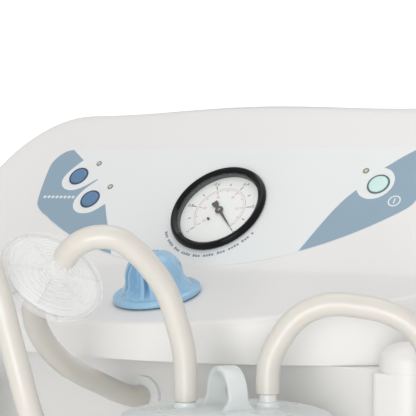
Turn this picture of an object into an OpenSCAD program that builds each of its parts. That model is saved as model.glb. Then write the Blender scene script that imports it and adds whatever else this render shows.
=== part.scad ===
// Mobile suction pump with two collection jars.
// Origin: on the floor under the middle of the base. X to the right, Y to the back, Z up. Millimetres.

/* [Console] */
// Width of the console across its sides
console_w = 450; // [430:5:470]
// Height of the console's top above the floor
console_top = 850; // [848:1:856]
// Height of the console's lower edge
console_bottom = 682; // [680:1:684]
// Thickness of the moulded shells
shell_t = 3; // [2.5:0.5:4]
// Slope of the control panel above horizontal, in degrees
panel_slope = 50; // [48:1:52]
// Slope of the ledge in front of the panel, in degrees
ledge_slope = 15.5; // [15:0.1:16]
// Radius of the curved front rim, seen from above
rim_r = 300; // [290:5:320]
// Distance of the gauge to the right of the middle
gauge_x = 15; // [0:1:30]

/* [Gauge and controls] */
// Outer diameter of the gauge's bezel
bezel_d = 75; // [70:1:78]
// How far the bezel stands out of the panel
bezel_h = 5; // [4.5:0.5:7]
// Diameter of a push-button's cap
button_d = 14.2; // [13:0.2:15]
// Travel of a push-button
button_travel = 1.5; // [1:0.5:2]
// Diameter of the regulator knob's flange
knob_d = 59; // [54:1:62]
// Height of the regulator knob above its flange's underside
knob_h = 29; // [26:1:34]
// Diameter of the regulator's spindle
spindle_d = 8; // [6:1:10]

/* [Jars] */
// Distance of each jar's axis from the middle
jar_x = 128; // [124:1:130]
// Distance of the jars' axes in front of the origin
jar_front = 121; // [120:1:126]
// Outer diameter of a jar
jar_d = 117; // [112:1:118]
// Height of the lids' tops above the floor
lid_top = 664; // [660:1:668]
// Outer diameter of a lid
lid_d = 126; // [124:1:128]
// Height of a jar with its lid
jar_h = 226; // [200:2:230]
// Distance of each lid port from the lid's middle
port_offset = 24; // [22:0.5:26]
// Lift of the shut-off float
float_lift = 14; // [8:1:16]

/* [Tubes] */
// Outer diameter of the silicone tubes
tube_d = 14; // [12:0.5:14]
// Diameter of the disc filter
filter_d = 65; // [62:1:72]
// Diameter of the tube coil, measured at the middle of the tube
coil_d = 136; // [130:2:138]
// Turns in the tube coil
coil_turns = 2.25; // [2.25:1:3.25]

/* [Base] */
// Width of the base
base_w = 440; // [420:10:450]
// Depth of the base
base_d = 410; // [400:10:420]
// Height of the base's deck
deck_z = 150; // [140:2:156]
// Diameter of the castor wheels
wheel_d = 75; // [65:5:75]
// Distance from a castor's swivel axis back to its axle
castor_trail = 26; // [22:1:28]

/* [Pump] */
// Height of the motor shaft above the floor
shaft_z = 205; // [200:1:215]
// Diameter of the motor shaft
shaft_d = 12; // [10:1:12]
// Throw of the eccentrics
throw = 6; // [4:1:6]
// Bore of the pump cylinders
bore_d = 40; // [38:1:42]

/* [Hidden] */
$fn = 48;
eps = 0.01;
gap = 0.3;

// Panel frame: its origin is the gauge's centre on the panel's surface
panel_y = 51.1;
panel_z = 770.9;
rim_y = -89;
rim_z = 704;
back_y = 160;
split_y = 120;
rim_centre_y = rim_y + rim_r;
corner_r = 72;

// Ledge frame: the knob's foot
knob_x = 20.5;
knob_y = -37;
knob_z = rim_z + (knob_y - rim_y) * tan(ledge_slope);

on_off = [115, 27.7];
foot_upper = [-144.5, 34.3];
foot_lower = [-122.8, 11.9];
lamps = [[101.7, 39.6], [-131, 47], [-109.5, 24]];
lamp_r = 2.2;
gauge_hole_r = 31.3;
gauge_at = [-4.2, 4];
gauge_sink = 4.5;
dial_z = 4.2;
glass_z = 6.3;
label_bottom_r = 258;
label_bottom_v = -47;

// Column
column_front_y = -44;
column_mid_y = 60;
column_back_y = 150;
column_w = 300;
bay_z = 470;
bay_half_w = 190;
post_r = 18;
post_y = -62;
column_top = console_bottom - 0.3;

// Jars, from the lid down
jar_y = -jar_front;
jar_bottom = lid_top - jar_h;
rim_top = lid_top - 10.5;
port_turn = 33;
nozzle_r = 4.2;
port_h = 22;
float_r = 13;
float_h = 24;
float_z = lid_top - 12 - float_lift - float_h;
handle_turn = -33;
holder_z = 586;
bar_front_y = -50;

// Filter and its tubes
filter_at = [41.5, -174.8, 739.9];
filter_turn = -16.4;
filter_tilt = 49;
filter_nozzle = 27;
inlet_at = [gauge_x, column_front_y, 653];
rest_at = [40, bar_front_y, 592];
tube_sides = 10;
filter_route = [[53.1, -178.2, 750.4], [60, -180.2, 756.3], [67.5, -179.5, 761], [76, -175.5, 763.6],
    [84.5, -169.5, 762.3], [91, -162.5, 756.3], [97, -153.5, 745.5], [102, -145.5, 732], [105.5, -139.8, 714],
    [108, -136, 696], [108, -134.5, 683], [108, -134, 668]];
inlet_route = [[29.9, -171.4, 729.4], [23.5, -169, 722.8], [19, -163.5, 713], [17, -154, 701],
    [16.5, -137, 686.5], [14, -112, 674.5], [12, -87, 665], [13, -67, 657], [15, -54, 653.2], [15, -47, 653]];
patient_route = [[148, -108, 672], [148, -108, 680], [149, -107, 691], [155, -104, 705],
    [163.5, -100, 716], [173, -95, 722], [183, -90, 724], [195, -84, 723], [209, -78, 720],
    [222, -73, 713], [231, -71, 702], [236, -73, 688], [237, -76, 670], [236, -80, 640],
    [235, -82, 600], [234, -84, 550], [233, -85, 500], [231, -86, 440], [229, -86, 380],
    [226, -84, 320], [222, -82, 275], [214, -82, 238], [203, -87, 210], [193, -100, 194],
    [188, -116, 189], [188, -126, 188.5]];
tail_route = [[120, -194, 157.2], [105, -194, 157.2], [85, -192, 157.2], [62, -189, 157.2],
    [40, -187, 158]];
left_route = [[-108, -108, 668], [-108, -109, 690], [-105, -117, 716], [-94, -134, 745],
    [-70, -158, 768], [-42, -182, 780], [-12, -205, 781], [14, -218, 772], [30, -222, 756],
    [39, -220, 734], [44, -217, 711], [49, -214, 689], [53, -208, 663], [54, -192, 635],
    [51, -166, 612], [46, -135, 598], [41, -105, 592.5], [40, -80, 592], [40, -74, 592]];
coil_at = [120, -126];
coil_top = deck_z + coil_turns * tube_d + tube_d + 0.2;
connector_l = 62;

// Castors: swivel axes at the four corners
castor_x = 175;
castor_front_y = -150;
castor_back_y = 138;
castors = [[-castor_x, castor_front_y], [castor_x, castor_front_y],
    [-castor_x, castor_back_y], [castor_x, castor_back_y]];
chassis_z = 91;
chassis_t = 4;
wheel_w = 24;
crown_z = chassis_z - 12;
stem_r = 5.5;
axle_r = 4;
run = 0.05;
pedal_y = 25;
pedal_z = crown_z + 5;

// Pump
pump_y = 50;
motor_r = 46;
pump_x = 84;
case_top = shaft_z + 46;
cylinder_top = shaft_z + 90;
eccentric_r = 13;
ring_r = eccentric_r + 2 * throw + 4.6;

// ---- frames ----
module on_panel(at = [0, 0])
    translate([gauge_x, panel_y, panel_z]) rotate([panel_slope, 0, 0])
        translate([at[0], at[1], 0]) children();

// Gauge frame: sunk into the panel
module on_gauge() on_panel(gauge_at) translate([0, 0, -gauge_sink]) children();

module on_ledge()
    translate([knob_x, knob_y, knob_z]) rotate([ledge_slope, 0, 0]) children();

module each_side()
    for (s = [-1, 1]) translate([s * jar_x, jar_y, 0]) children();

module at_filter()
    translate(filter_at) rotate([0, filter_tilt, filter_turn]) children();

// ---- shared shapes ----
module ring(r_in, r_out, h)
    rotate_extrude() translate([r_in, 0]) square([r_out - r_in, h]);

// A box with round vertical corners, from -x..x and y0..y1
module round_box(x, y0, y1, r, h) {
    translate([-x + r, y0, 0]) cube([2 * (x - r), y1 - y0, h]);
    translate([-x, y0 + r, 0]) cube([2 * x, y1 - y0 - 2 * r, h]);
    for (sx = [-1, 1], sy = [y0 + r, y1 - r]) translate([sx * (x - r), sy, 0]) cylinder(r = r, h = h);
}

function unit(a) = a / norm(a);
function tangents(p) = [for (i = [0:len(p) - 1])
    unit(p[min(i + 1, len(p) - 1)] - p[max(i - 1, 0)])];
function first_side(t) = unit(cross(t, abs(t[2]) > 0.8 ? [1, 0, 0] : [0, 0, 1]));
function sides_along(t) = [for (i = 0, s = first_side(t[0]); i < len(t);
    i = i + 1, s = i < len(t) ? unit(s - (s * t[i]) * t[i]) : s) s];

// A tube swept along a route: one ring of corners at each point
module swept(route, r, n = tube_sides) {
    t = tangents(route);
    s = sides_along(t);
    corners = [for (i = [0:len(route) - 1], k = [0:n - 1])
        route[i] + r * (cos(360 * k / n) * s[i] + sin(360 * k / n) * cross(t[i], s[i]))];
    walls = [for (i = [0:len(route) - 2], k = [0:n - 1])
        [i * n + k, (i + 1) * n + k, (i + 1) * n + (k + 1) % n, i * n + (k + 1) % n]];
    last = (len(route) - 1) * n;
    polyhedron(corners, concat(walls, [[for (k = [0:n - 1]) k]],
        [[for (k = [n - 1:-1:0]) last + k]]), convexity = 4);
}

// ---- console ----
function ledge_at(g) = [tan(ledge_slope), rim_z - rim_y * tan(ledge_slope) - g / cos(ledge_slope)];
function panel_at(g) = [tan(panel_slope), panel_z - panel_y * tan(panel_slope) - g / cos(panel_slope)];
function meet(a, b) = (b[1] - a[1]) / (a[0] - b[0]);

// The console's outer form, drawn in by g on every side but the open bottom
module console_form(g) {
    low = console_bottom - (g > 0 ? 1 : 0);
    ledge = ledge_at(g);
    panel = panel_at(g);
    top = console_top - g;
    fold = meet(ledge, panel);
    brow = (top - panel[1]) / panel[0];
    half = console_w / 2 - g;
    intersection() {
        translate([-console_w, 0, 0]) rotate([90, 0, 90]) linear_extrude(2 * console_w)
            polygon([[rim_y + g, low], [rim_y + g, ledge[1] + ledge[0] * (rim_y + g)],
                [fold, ledge[1] + ledge[0] * fold], [brow, top], [back_y - g, top], [back_y - g, low]]);
        translate([0, rim_centre_y, low]) cylinder(r = rim_r - g, h = 200, $fn = 160);
        translate([0, 0, low]) round_box(half, rim_y, back_y - g, 50 - g, 200);
        translate([0, back_y, 0]) rotate([90, 0, 0]) {
            r = corner_r - g;
            translate([-half, low, 0]) cube([2 * half, top - r - low, 400]);
            translate([-half + r, low, 0]) cube([2 * (half - r), top - low, 400]);
            for (s = [-1, 1]) translate([s * (half - r), top - r, 0]) cylinder(r = r, h = 400, $fn = 96);
        }
    }
}

module console_shell() {
    difference() {
        console_form(0);
        console_form(shell_t);
    }
}

module console_cover() color("whitesmoke") difference() {
    console_shell();
    translate([-console_w, split_y, 0]) cube([2 * console_w, 200, 1000]);
    on_gauge() translate([0, 0, -20]) cylinder(r = gauge_hole_r, h = 40);
    for (b = [on_off, foot_upper, foot_lower])
        on_panel(b) translate([0, 0, -20]) cylinder(r = button_d / 2 + 0.4, h = 40);
    for (l = lamps) on_panel(l) translate([0, 0, -20]) cylinder(r = lamp_r + 0.2, h = 40);
    on_ledge() translate([0, 0, -20]) cylinder(r = spindle_d / 2 + 3, h = 40);
}

module console_back() color("whitesmoke") difference() {
    console_shell();
    translate([-console_w, split_y - 500, 0]) cube([2 * console_w, 500, 1000]);
    translate([60, back_y, 720]) rotate([90, 0, 0]) translate([0, 0, -10]) cylinder(r = 14, h = 30);
    translate([-84, back_y - 20, 706]) cube([28, 40, 20]);
}

// Plate that closes the console's underside, with a passage into the column
module console_floor() color("gainsboro") difference() {
    intersection() {
        translate([0, rim_centre_y, console_bottom]) cylinder(r = rim_r - shell_t - gap, h = 4, $fn = 160);
        translate([0, 0, console_bottom])
            round_box(console_w / 2 - shell_t - gap, rim_y, back_y - shell_t - gap, 50 - shell_t - gap, 4);
    }
    translate([0, 0, console_bottom - 1]) round_box(110, 0, 120, 20, 8);
}

module push_handle() color("silver") {
    for (s = [-1, 1]) translate([s * 150, back_y, 790]) rotate([-90, 0, 0]) {
        ring(0, 14, 5);
        cylinder(r = 9, h = 25);
    }
    translate([-170, back_y + 32, 790]) rotate([0, 90, 0]) cylinder(r = 12, h = 340);
}

// ---- panel ----
function arc(c, r, a, b, n) = [for (i = [0:n]) c + r * [cos(a + (b - a) * i / n), sin(a + (b - a) * i / n)]];

module label_outline() polygon(concat(
    arc([-gauge_x, label_bottom_v + label_bottom_r], label_bottom_r, 232, 308, 24),
    [[142, 8], [147, 20], [149, 41]],
    arc([132, 45], 17, 0, 90, 8), arc([-159, 45], 17, 90, 180, 8), [[-179, 41], [-177, 20], [-172, 8]]));

module panel_label() color("aliceblue") on_panel() difference() {
    translate([0, 0, 0.02]) linear_extrude(0.4) label_outline();
    translate([gauge_at[0], gauge_at[1], -1]) cylinder(r = bezel_d / 2 + 0.2, h = 3);
    for (b = [on_off, foot_upper, foot_lower])
        translate([b[0], b[1], -1]) cylinder(r = button_d / 2 + 0.4, h = 3);
    for (l = lamps) translate([l[0], l[1], -1]) cylinder(r = lamp_r + 0.2, h = 3);
}

module status_leds() color("wheat") for (l = lamps) on_panel(l) {
    translate([0, 0, -6]) cylinder(r = lamp_r, h = 6);
    intersection() {
        sphere(r = lamp_r);
        cylinder(r = lamp_r, h = 3);
    }
}

module push_button(at) on_panel(at) {
    translate([0, 0, -6]) cylinder(d = button_d, h = 7.5);
    translate([0, 0, -18]) cylinder(r = 2, h = 12 + eps);
}
module power_button() color("paleturquoise") push_button(on_off);
module foot_button_upper() color("steelblue") push_button(foot_upper);
module foot_button_lower() color("steelblue") push_button(foot_lower);

// Two circuit boards behind the buttons, with a switch under each button
module control_board() color("seagreen") {
    for (side = [[-160, 58], [92, 44]])
        on_panel() translate([side[0], -4, -27]) cube([side[1], 52, 1.6]);
    for (b = [on_off, foot_upper, foot_lower])
        on_panel(b) translate([-3, -3, -25.4]) cube([6, 6, 7.4 - button_travel - 0.4]);
}

// ---- gauge ----
module gauge_bezel() color("black") on_gauge() {
    low = gauge_sink + 0.1;
    top = gauge_sink + bezel_h;
    rotate_extrude($fn = 96) polygon([[30.2, glass_z + 1.3], [31.5, glass_z + 1.3], [31.5, low],
        [bezel_d / 2, low], [bezel_d / 2, top - 3], [bezel_d / 2 - 1.2, top - 1],
        [bezel_d / 2 - 3, top], [33.5, top], [30.8, top - 0.8], [30.2, top - 1.4]]);
}

module gauge_glass() color("white", 0.3) on_gauge() translate([0, 0, glass_z])
    cylinder(r = 31, h = 1.2);

module gauge_case() color("dimgray") on_gauge() difference() {
    union() {
        translate([0, 0, -32]) cylinder(r = 31, h = 32 + glass_z);
        translate([0, 0, -44]) cylinder(r = 5, h = 13);
    }
    translate([0, 0, -29]) difference() {
        cylinder(r = 29.8, h = 40);
        cylinder(r = 4, h = 22);
    }
    translate([0, 0, -17]) cylinder(r = 1 + run, h = 20);
    translate([0, 0, -45]) cylinder(r = 2.5, h = 15);
}

module gauge_dial() color("white") on_gauge() translate([0, 0, dial_z - 1]) ring(2, 29.4, 1);

// The needle rests on the scale's zero, lower right, with its tail opposite
module gauge_needle() color("black") on_gauge() translate([0, 0, dial_z + 0.5]) rotate(-45) {
    cylinder(r = 3.2, h = 1.2);
    translate([0, 0, -18]) cylinder(r = 1, h = 19);
    linear_extrude(0.7) polygon([[-11, -1.6], [-11, 1.6], [0, 1.1], [23, 0.25], [23, -0.25], [0, -1.1]]);
}

// ---- regulator ----
module regulator_valve() color("goldenrod") on_ledge() difference() {
    union() {
        translate([0, 0, -30]) cylinder(r = 14, h = 26);
        for (s = [-1, 1]) translate([s * 10, 0, -24]) rotate([0, s * 90, 0]) cylinder(r = nozzle_r, h = 22);
    }
    translate([0, 0, -26]) cylinder(d = spindle_d + 2 * run, h = 40);
    for (s = [-1, 1]) translate([s * 6, 0, -24]) rotate([0, s * 90, 0]) cylinder(r = 2.5, h = 40);
}

module regulator_knob() color("skyblue") on_ledge() {
    lift = 0.8;
    r = knob_d / 2;
    h = knob_h;
    difference() {
        rotate_extrude($fn = 72) polygon(concat(
            [[0, lift], [r, lift], [r, lift + 3.4], [0.82 * r, lift + 4.4]],
            [for (a = [0:9:90]) [0.22 * r + 0.44 * r * cos(a), lift + 0.36 * h + 0.62 * h * sin(a)]],
            [[0, lift + h]]));
        for (k = [0:5]) rotate(60 * k + 30) translate([r * 0.9, 0, lift + 5])
            cylinder(r = 8, h = 0.5 * h);
    }
    translate([0, 0, -24]) cylinder(d = spindle_d, h = 26);
}

// ---- jars ----
module jar() color("white", 0.35) translate([0, 0, jar_bottom]) difference() {
    union() {
        cylinder(d = jar_d, h = rim_top - jar_bottom);
        translate([0, 0, rim_top - jar_bottom - 5]) cylinder(d = jar_d + 2, h = 5);
    }
    translate([0, 0, 3]) cylinder(d = jar_d - 5, h = jar_h);
}
module jar_left() translate([-jar_x, jar_y, 0]) jar();
module jar_right() translate([jar_x, jar_y, 0]) jar();

module float_place() rotate(port_turn + 180) translate([port_offset, 0, 0]) children();

module lid() color("gainsboro") {
    difference() {
        union() {
            translate([0, 0, lid_top - 8]) cylinder(d = lid_d, h = 8);
            translate([0, 0, lid_top - 18]) ring(jar_d / 2 + 1.3, lid_d / 2, 10 + eps);
            for (a = [0, 180]) rotate(port_turn + a) translate([port_offset, 0, lid_top - 1]) {
                cylinder(r = 6.5, h = 4);
                cylinder(r = nozzle_r, h = port_h);
            }
            float_place() for (a = [0:90:270]) rotate(a + 45) translate([14.5, -1.5, float_z - 6])
                cube([3, 3, lid_top - float_z]);
            float_place() translate([0, 0, float_z - 8]) ring(10, 19, 3);
        }
        for (a = [0, 180]) rotate(port_turn + a) translate([port_offset, 0, lid_top - 20])
            cylinder(r = 2.8, h = 60);
    }
    rotate(handle_turn) translate([0, 6, lid_top - 1]) rotate([90, 0, 0]) linear_extrude(12)
        polygon(concat([[17, 0]], arc([0, 8], 17, 0, 180, 24), [[-17, 0], [-13.5, 0]],
            arc([0, 8], 13.5, 180, 0, 24), [[13.5, 0]]));
}
module lid_left() translate([-jar_x, jar_y, 0]) lid();
module lid_right() translate([jar_x, jar_y, 0]) lid();

module lid_seals() color("lightgray") each_side()
    translate([0, 0, rim_top]) ring(jar_d / 2 - 4, jar_d / 2, lid_top - 8 - rim_top);

module shutoff_float() color("orange") float_place() translate([0, 0, float_z - 4.5])
    cylinder(r = float_r, h = float_h);
module float_left() translate([-jar_x, jar_y, 0]) shutoff_float();
module float_right() translate([jar_x, jar_y, 0]) shutoff_float();

// Steel bar across the column, and the two jar holders screwed to it
module holder_bar() color("silver") translate([-170, bar_front_y, holder_z - 12])
    cube([340, column_front_y - bar_front_y, 24]);

module jar_holders() color("gray") each_side() {
    r = jar_d / 2 + 0.8;
    back = bar_front_y - jar_y;
    difference() {
        union() {
            translate([0, 0, holder_z - 10]) cylinder(r = r + 3.5, h = 20);
            translate([-18, 0, holder_z - 12]) cube([36, back, 24]);
            translate([-12, r - 2, jar_bottom - 5]) cube([24, 6, holder_z - jar_bottom]);
            translate([0, 0, jar_bottom - 5]) cylinder(r = r + 3.5, h = 14);
        }
        translate([0, 0, jar_bottom - 0.4]) cylinder(r = r, h = 400);
        translate([0, 0, jar_bottom - 6]) cylinder(r = 40, h = 10);
    }
}

module tube_rest() color("gray") translate(rest_at) rotate([90, 0, 0]) {
    translate([-12, -12, 0]) cube([24, 24, 5]);
    cylinder(r = 9, h = 9);
    cylinder(r = nozzle_r, h = 40);
}

module screws() color("silver") {
    for (s = [-1, 1], x = [jar_x - 12, jar_x + 12]) translate([s * x, bar_front_y, holder_z - 18 - eps])
        cylinder(r = 2, h = 6);
    for (x = [-160, -60, 60, 160]) translate([x, bar_front_y, holder_z]) rotate([90, 0, 0]) {
        cylinder(r = 4, h = 2.5);
    }
    for (sx = [-1, 1], z = [500, 660]) translate([sx * 100, column_back_y, z]) rotate([-90, 0, 0])
        cylinder(r = 4, h = 2);
    for (sx = [-1, 1], z = [715, 825]) translate([sx * 120, back_y, z]) rotate([-90, 0, 0])
        cylinder(r = 4, h = 2);
}

// ---- filter and tubes ----
module filter_housing() color("white", 0.5) at_filter() {
    for (s = [0, 1]) mirror([0, 0, s]) {
        rotate_extrude($fn = 72) difference() {
            polygon([[0, 0.8], [30, 0.8], [30, 0.2], [filter_d / 2, 0.2], [filter_d / 2, 2.4],
                [30, 3.4], [8, 6], [6, 9], [0, 9]]);
            polygon([[0, 0.7], [28, 0.7], [28, 1.6], [6, 4.2], [0, 4.2]]);
        }
        difference() {
            translate([0, 0, 8]) cylinder(r = nozzle_r, h = filter_nozzle - 8);
            translate([0, 0, 9]) cylinder(r = 2.8, h = 40);
        }
    }
}
module filter_membrane() color("white") at_filter() translate([0, 0, -0.2]) cylinder(r = 29, h = 0.4);

module inlet_port() color("white") translate(inlet_at) rotate([90, 0, 0]) {
    cylinder(r = 13, h = 3);
    ring(2.8, nozzle_r, 18);
}

module tube_filter() color("cornsilk") swept(filter_route, tube_d / 2);
module tube_inlet() color("cornsilk") swept(inlet_route, tube_d / 2);
module tube_left() color("cornsilk") swept(left_route, tube_d / 2);
module tube_patient() color("cornsilk") {
    swept(patient_route, tube_d / 2);
    swept(tail_route, tube_d / 2);
}
module tube_coil() color("cornsilk") translate([coil_at[0], coil_at[1], deck_z + 0.2])
    ring(coil_d / 2 - tube_d / 2, coil_d / 2 + tube_d / 2, coil_top - deck_z - 0.2);

// Funnel connector at the patient end, lying on the deck
module patient_connector() color("ivory") translate([46, -187, deck_z + 8.6]) rotate([0, -90, 0])
    rotate_extrude() polygon([[2.5, 0], [8.2, 0], [8.2, 22], [7, 26], [7, 32], [5, 36],
        [5, connector_l], [2.5, connector_l]]);

// ---- rear sockets ----
module mains_inlet() color("black") translate([-70, back_y, 716]) rotate([90, 0, 0]) difference() {
    union() {
        translate([-13.5, -9.5, -2]) cube([27, 19, 24]);
        translate([-22, -13, -2]) cube([44, 26, 2]);
    }
    translate([-11.5, -7.5, -3]) cube([23, 15, 18]);
}

module foot_switch_socket() color("dimgray") translate([60, back_y, 720]) rotate([-90, 0, 0]) difference() {
    union() {
        translate([0, 0, -22]) cylinder(r = 13, h = 22);
        cylinder(r = 17, h = 3);
    }
    translate([0, 0, -15]) cylinder(r = 9, h = 20);
}

// ---- column ----
module column_form(g) {
    translate([0, 0, bay_z]) difference() {
        round_box(console_w / 2 - g, post_y + g, column_back_y - g, post_r - g,
            column_top - bay_z + g);
        translate([-bay_half_w - g, post_y - 20, -eps])
            cube([2 * (bay_half_w + g), column_front_y - post_y + 20 + g, 300]);
    }
    translate([0, 0, deck_z]) round_box(column_w / 2 - g, column_front_y + g, column_back_y - g, 30 - g,
        bay_z - deck_z + g + eps);
}

module column_shell() difference() {
    column_form(0);
    translate([0, 0, -shell_t]) column_form(shell_t);
    translate([0, 0, 30]) column_form(shell_t + 12);
    translate([0, 0, -30]) intersection() {
        column_form(shell_t);
        translate([-300, -300, 0]) cube([600, 600, 300]);
    }
}

module column_front() color("whitesmoke") difference() {
    column_shell();
    translate([-300, column_mid_y, 0]) cube([600, 300, 1000]);
}

module column_rear() color("whitesmoke") difference() {
    column_shell();
    translate([-300, column_mid_y - 400, 0]) cube([600, 400, 1000]);
}

// ---- pump ----
module along_shaft() translate([0, pump_y, shaft_z]) rotate([0, 90, 0]) children();

module motor_housing() color("slategray") difference() {
    union() {
        along_shaft() translate([0, 0, -52]) cylinder(r = motor_r, h = 104);
        translate([-30, pump_y - 20, 118]) cube([60, 40, shaft_z - 118]);
        translate([-110, pump_y - 46, 115]) cube([220, 92, 4]);
    }
    along_shaft() translate([0, 0, -48]) cylinder(r = motor_r - 4, h = 96);
    along_shaft() translate([0, 0, -60]) cylinder(d = shaft_d + 2 * run, h = 120);
}

module motor_rotor() color("silver") {
    along_shaft() {
        translate([0, 0, -132]) cylinder(d = shaft_d, h = 264);
        translate([0, 0, -36]) cylinder(r = 36, h = 72);
        for (s = [-1, 1]) {
            translate([s * throw, 0, s * pump_x - 7]) cylinder(r = eccentric_r, h = 14);
            translate([0, 0, s * 124 - 5]) cylinder(r = 12, h = 10);
            for (k = [0:7]) rotate(45 * k) translate([8, -1, s * 124 - 4]) cube([30, 2, 8]);
        }
    }
}

module pump_housing() difference() {
    union() {
        translate([-22, -42, 119]) cube([44, 84, case_top - 119]);
        translate([0, 0, case_top - eps]) cylinder(r = bore_d / 2 + 4, h = cylinder_top - case_top);
    }
    translate([-18, -38, 123]) cube([36, 76, case_top - 127]);
    translate([0, 0, case_top - 10]) cylinder(d = bore_d + 2 * run, h = 100);
    translate([-30, 0, shaft_z]) rotate([0, 90, 0]) cylinder(r = shaft_d / 2 + 2, h = 60);
}
module pump_housings() color("lightslategray")
    for (s = [-1, 1]) translate([s * pump_x, pump_y, 0]) pump_housing();

// Piston with its rod; the big end is a wide ring round the eccentric
module piston() {
    crown = shaft_z + 83;
    difference() {
        union() {
            translate([0, 0, crown - 12]) cylinder(d = bore_d, h = 12);
            translate([-4, -5, shaft_z + ring_r]) cube([8, 10, crown - shaft_z - ring_r - 6]);
            translate([-5, 0, shaft_z]) rotate([0, 90, 0]) cylinder(r = ring_r + 3, h = 10);
        }
        translate([-10, 0, shaft_z]) rotate([0, 90, 0]) cylinder(r = ring_r, h = 20);
    }
}
module piston_left() color("gainsboro") translate([-pump_x, pump_y, 0]) piston();
module piston_right() color("gainsboro") translate([pump_x, pump_y, 0]) piston();

module cylinder_heads() color("slategray")
    for (s = [-1, 1]) translate([s * pump_x, pump_y, cylinder_top]) {
        translate([-26, -26, 0]) cube([52, 52, 16]);
        translate([0, 0, 16 - eps]) ring(3, 6, 14);
    }

module vibration_mounts() color("dimgray") for (sx = [-1, 1], sy = [-1, 1])
    translate([sx * 98, pump_y + sy * 36, chassis_z + chassis_t]) cylinder(r = 9, h = 20);

// ---- base ----
module base_chassis() color("gray") difference() {
    union() {
        translate([0, 0, chassis_z])
            round_box(base_w / 2 - 6, -base_d / 2 + 6, base_d / 2 - 6, 40, chassis_t);
        for (c = castors) translate([c[0], c[1], chassis_z]) cylinder(r = 14, h = 22);
    }
    for (c = castors) translate([c[0], c[1], chassis_z - 1]) cylinder(r = stem_r + run, h = 19);
}

module base_cover() color("gainsboro") difference() {
    translate([0, 0, chassis_z + chassis_t]) round_box(base_w / 2, -base_d / 2, base_d / 2, 46,
        deck_z - chassis_z - chassis_t);
    translate([0, 0, chassis_z + chassis_t - 1]) round_box(base_w / 2 - shell_t, -base_d / 2 + shell_t,
        base_d / 2 - shell_t, 43, deck_z - chassis_z - chassis_t - shell_t + 1);
    translate([0, 0, deck_z - 20]) round_box(138, column_front_y + 12, column_back_y - 12, 20, 40);
}

module castor_fork(at) color("silver") translate([at[0], at[1], 0]) {
    translate([0, 0, chassis_z - 1.2]) cylinder(r = 11, h = 0.8);
    translate([0, 0, crown_z]) {
        cylinder(r = 20, h = 11);
        cylinder(r = stem_r, h = 28);
    }
    for (s = [-1, 1]) translate([s * 16.5 - 1.5, 0, 0]) difference() {
        rotate([90, 0, 90]) linear_extrude(3) polygon([[-12, crown_z + 3], [16, crown_z + 3],
            [19, crown_z + 10], [31, crown_z + 10], [32, 60], [castor_trail + 10, 46], [castor_trail + 8, 28],
            [castor_trail - 8, 28], [-12, 62]]);
        translate([-1, pedal_y, pedal_z]) rotate([0, 90, 0]) cylinder(r = 2 + run, h = 5);
    }
    translate([-18, castor_trail, wheel_d / 2]) rotate([0, 90, 0]) cylinder(r = axle_r, h = 36);
}

module castor_wheel(at) translate([at[0], at[1] + castor_trail, wheel_d / 2]) rotate([0, 90, 0]) {
    color("dimgray") rotate_extrude($fn = 72) translate([0, -wheel_w / 2]) polygon([[axle_r + run, 0],
        [16, 0], [16, 4], [28, 4], [28, 1], [wheel_d / 2 - 3, 1], [wheel_d / 2, 4],
        [wheel_d / 2, wheel_w - 4], [wheel_d / 2 - 3, wheel_w - 1], [28, wheel_w - 1],
        [28, wheel_w - 4], [16, wheel_w - 4], [16, wheel_w], [axle_r + run, wheel_w]]);
}

module brake_pedal(at) color("crimson") translate([at[0], at[1], 0]) {
    translate([-18.5, pedal_y, pedal_z]) rotate([0, 90, 0]) cylinder(r = 2, h = 37);
    translate([-14.4, pedal_y, pedal_z]) rotate([0, 90, 0]) cylinder(r = 4, h = 28.8);
    translate([-12, pedal_y, pedal_z - 0.5]) cube([24, 48, 3.5]);
    translate([-8, pedal_y + 16, pedal_z - 3.5]) cube([16, 8, 3.5]);
}

module castor_fork_1() castor_fork(castors[0]);
module castor_fork_2() castor_fork(castors[1]);
module castor_fork_3() castor_fork(castors[2]);
module castor_fork_4() castor_fork(castors[3]);
module castor_wheel_1() castor_wheel(castors[0]);
module castor_wheel_2() castor_wheel(castors[1]);
module castor_wheel_3() castor_wheel(castors[2]);
module castor_wheel_4() castor_wheel(castors[3]);
module brake_pedal_1() brake_pedal(castors[0]);
module brake_pedal_2() brake_pedal(castors[1]);

base_chassis();
base_cover();
column_front();
column_rear();
console_cover();
console_back();
console_floor();
push_handle();
panel_label();
status_leds();
gauge_bezel();
gauge_case();
gauge_dial();
gauge_glass();
gauge_needle();
regulator_valve();
regulator_knob();
control_board();
power_button();
foot_button_upper();
foot_button_lower();
jar_left();
jar_right();
lid_left();
lid_right();
lid_seals();
float_left();
float_right();
jar_holders();
holder_bar();
tube_rest();
screws();
filter_housing();
filter_membrane();
inlet_port();
mains_inlet();
foot_switch_socket();
motor_housing();
motor_rotor();
pump_housings();
piston_left();
piston_right();
cylinder_heads();
vibration_mounts();
tube_filter();
tube_inlet();
tube_patient();
tube_coil();
tube_left();
patient_connector();
castor_fork_1();
castor_fork_2();
castor_fork_3();
castor_fork_4();
castor_wheel_1();
castor_wheel_2();
castor_wheel_3();
castor_wheel_4();
brake_pedal_1();
brake_pedal_2();
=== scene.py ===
# Mobile suction pump: its looks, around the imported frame.
# Shapes are written in millimetres and made metres by MM; the tubes' routes and the lights are in metres.
import math
import bpy
import bmesh
import numpy as np
from mathutils import Matrix, Vector


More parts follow.
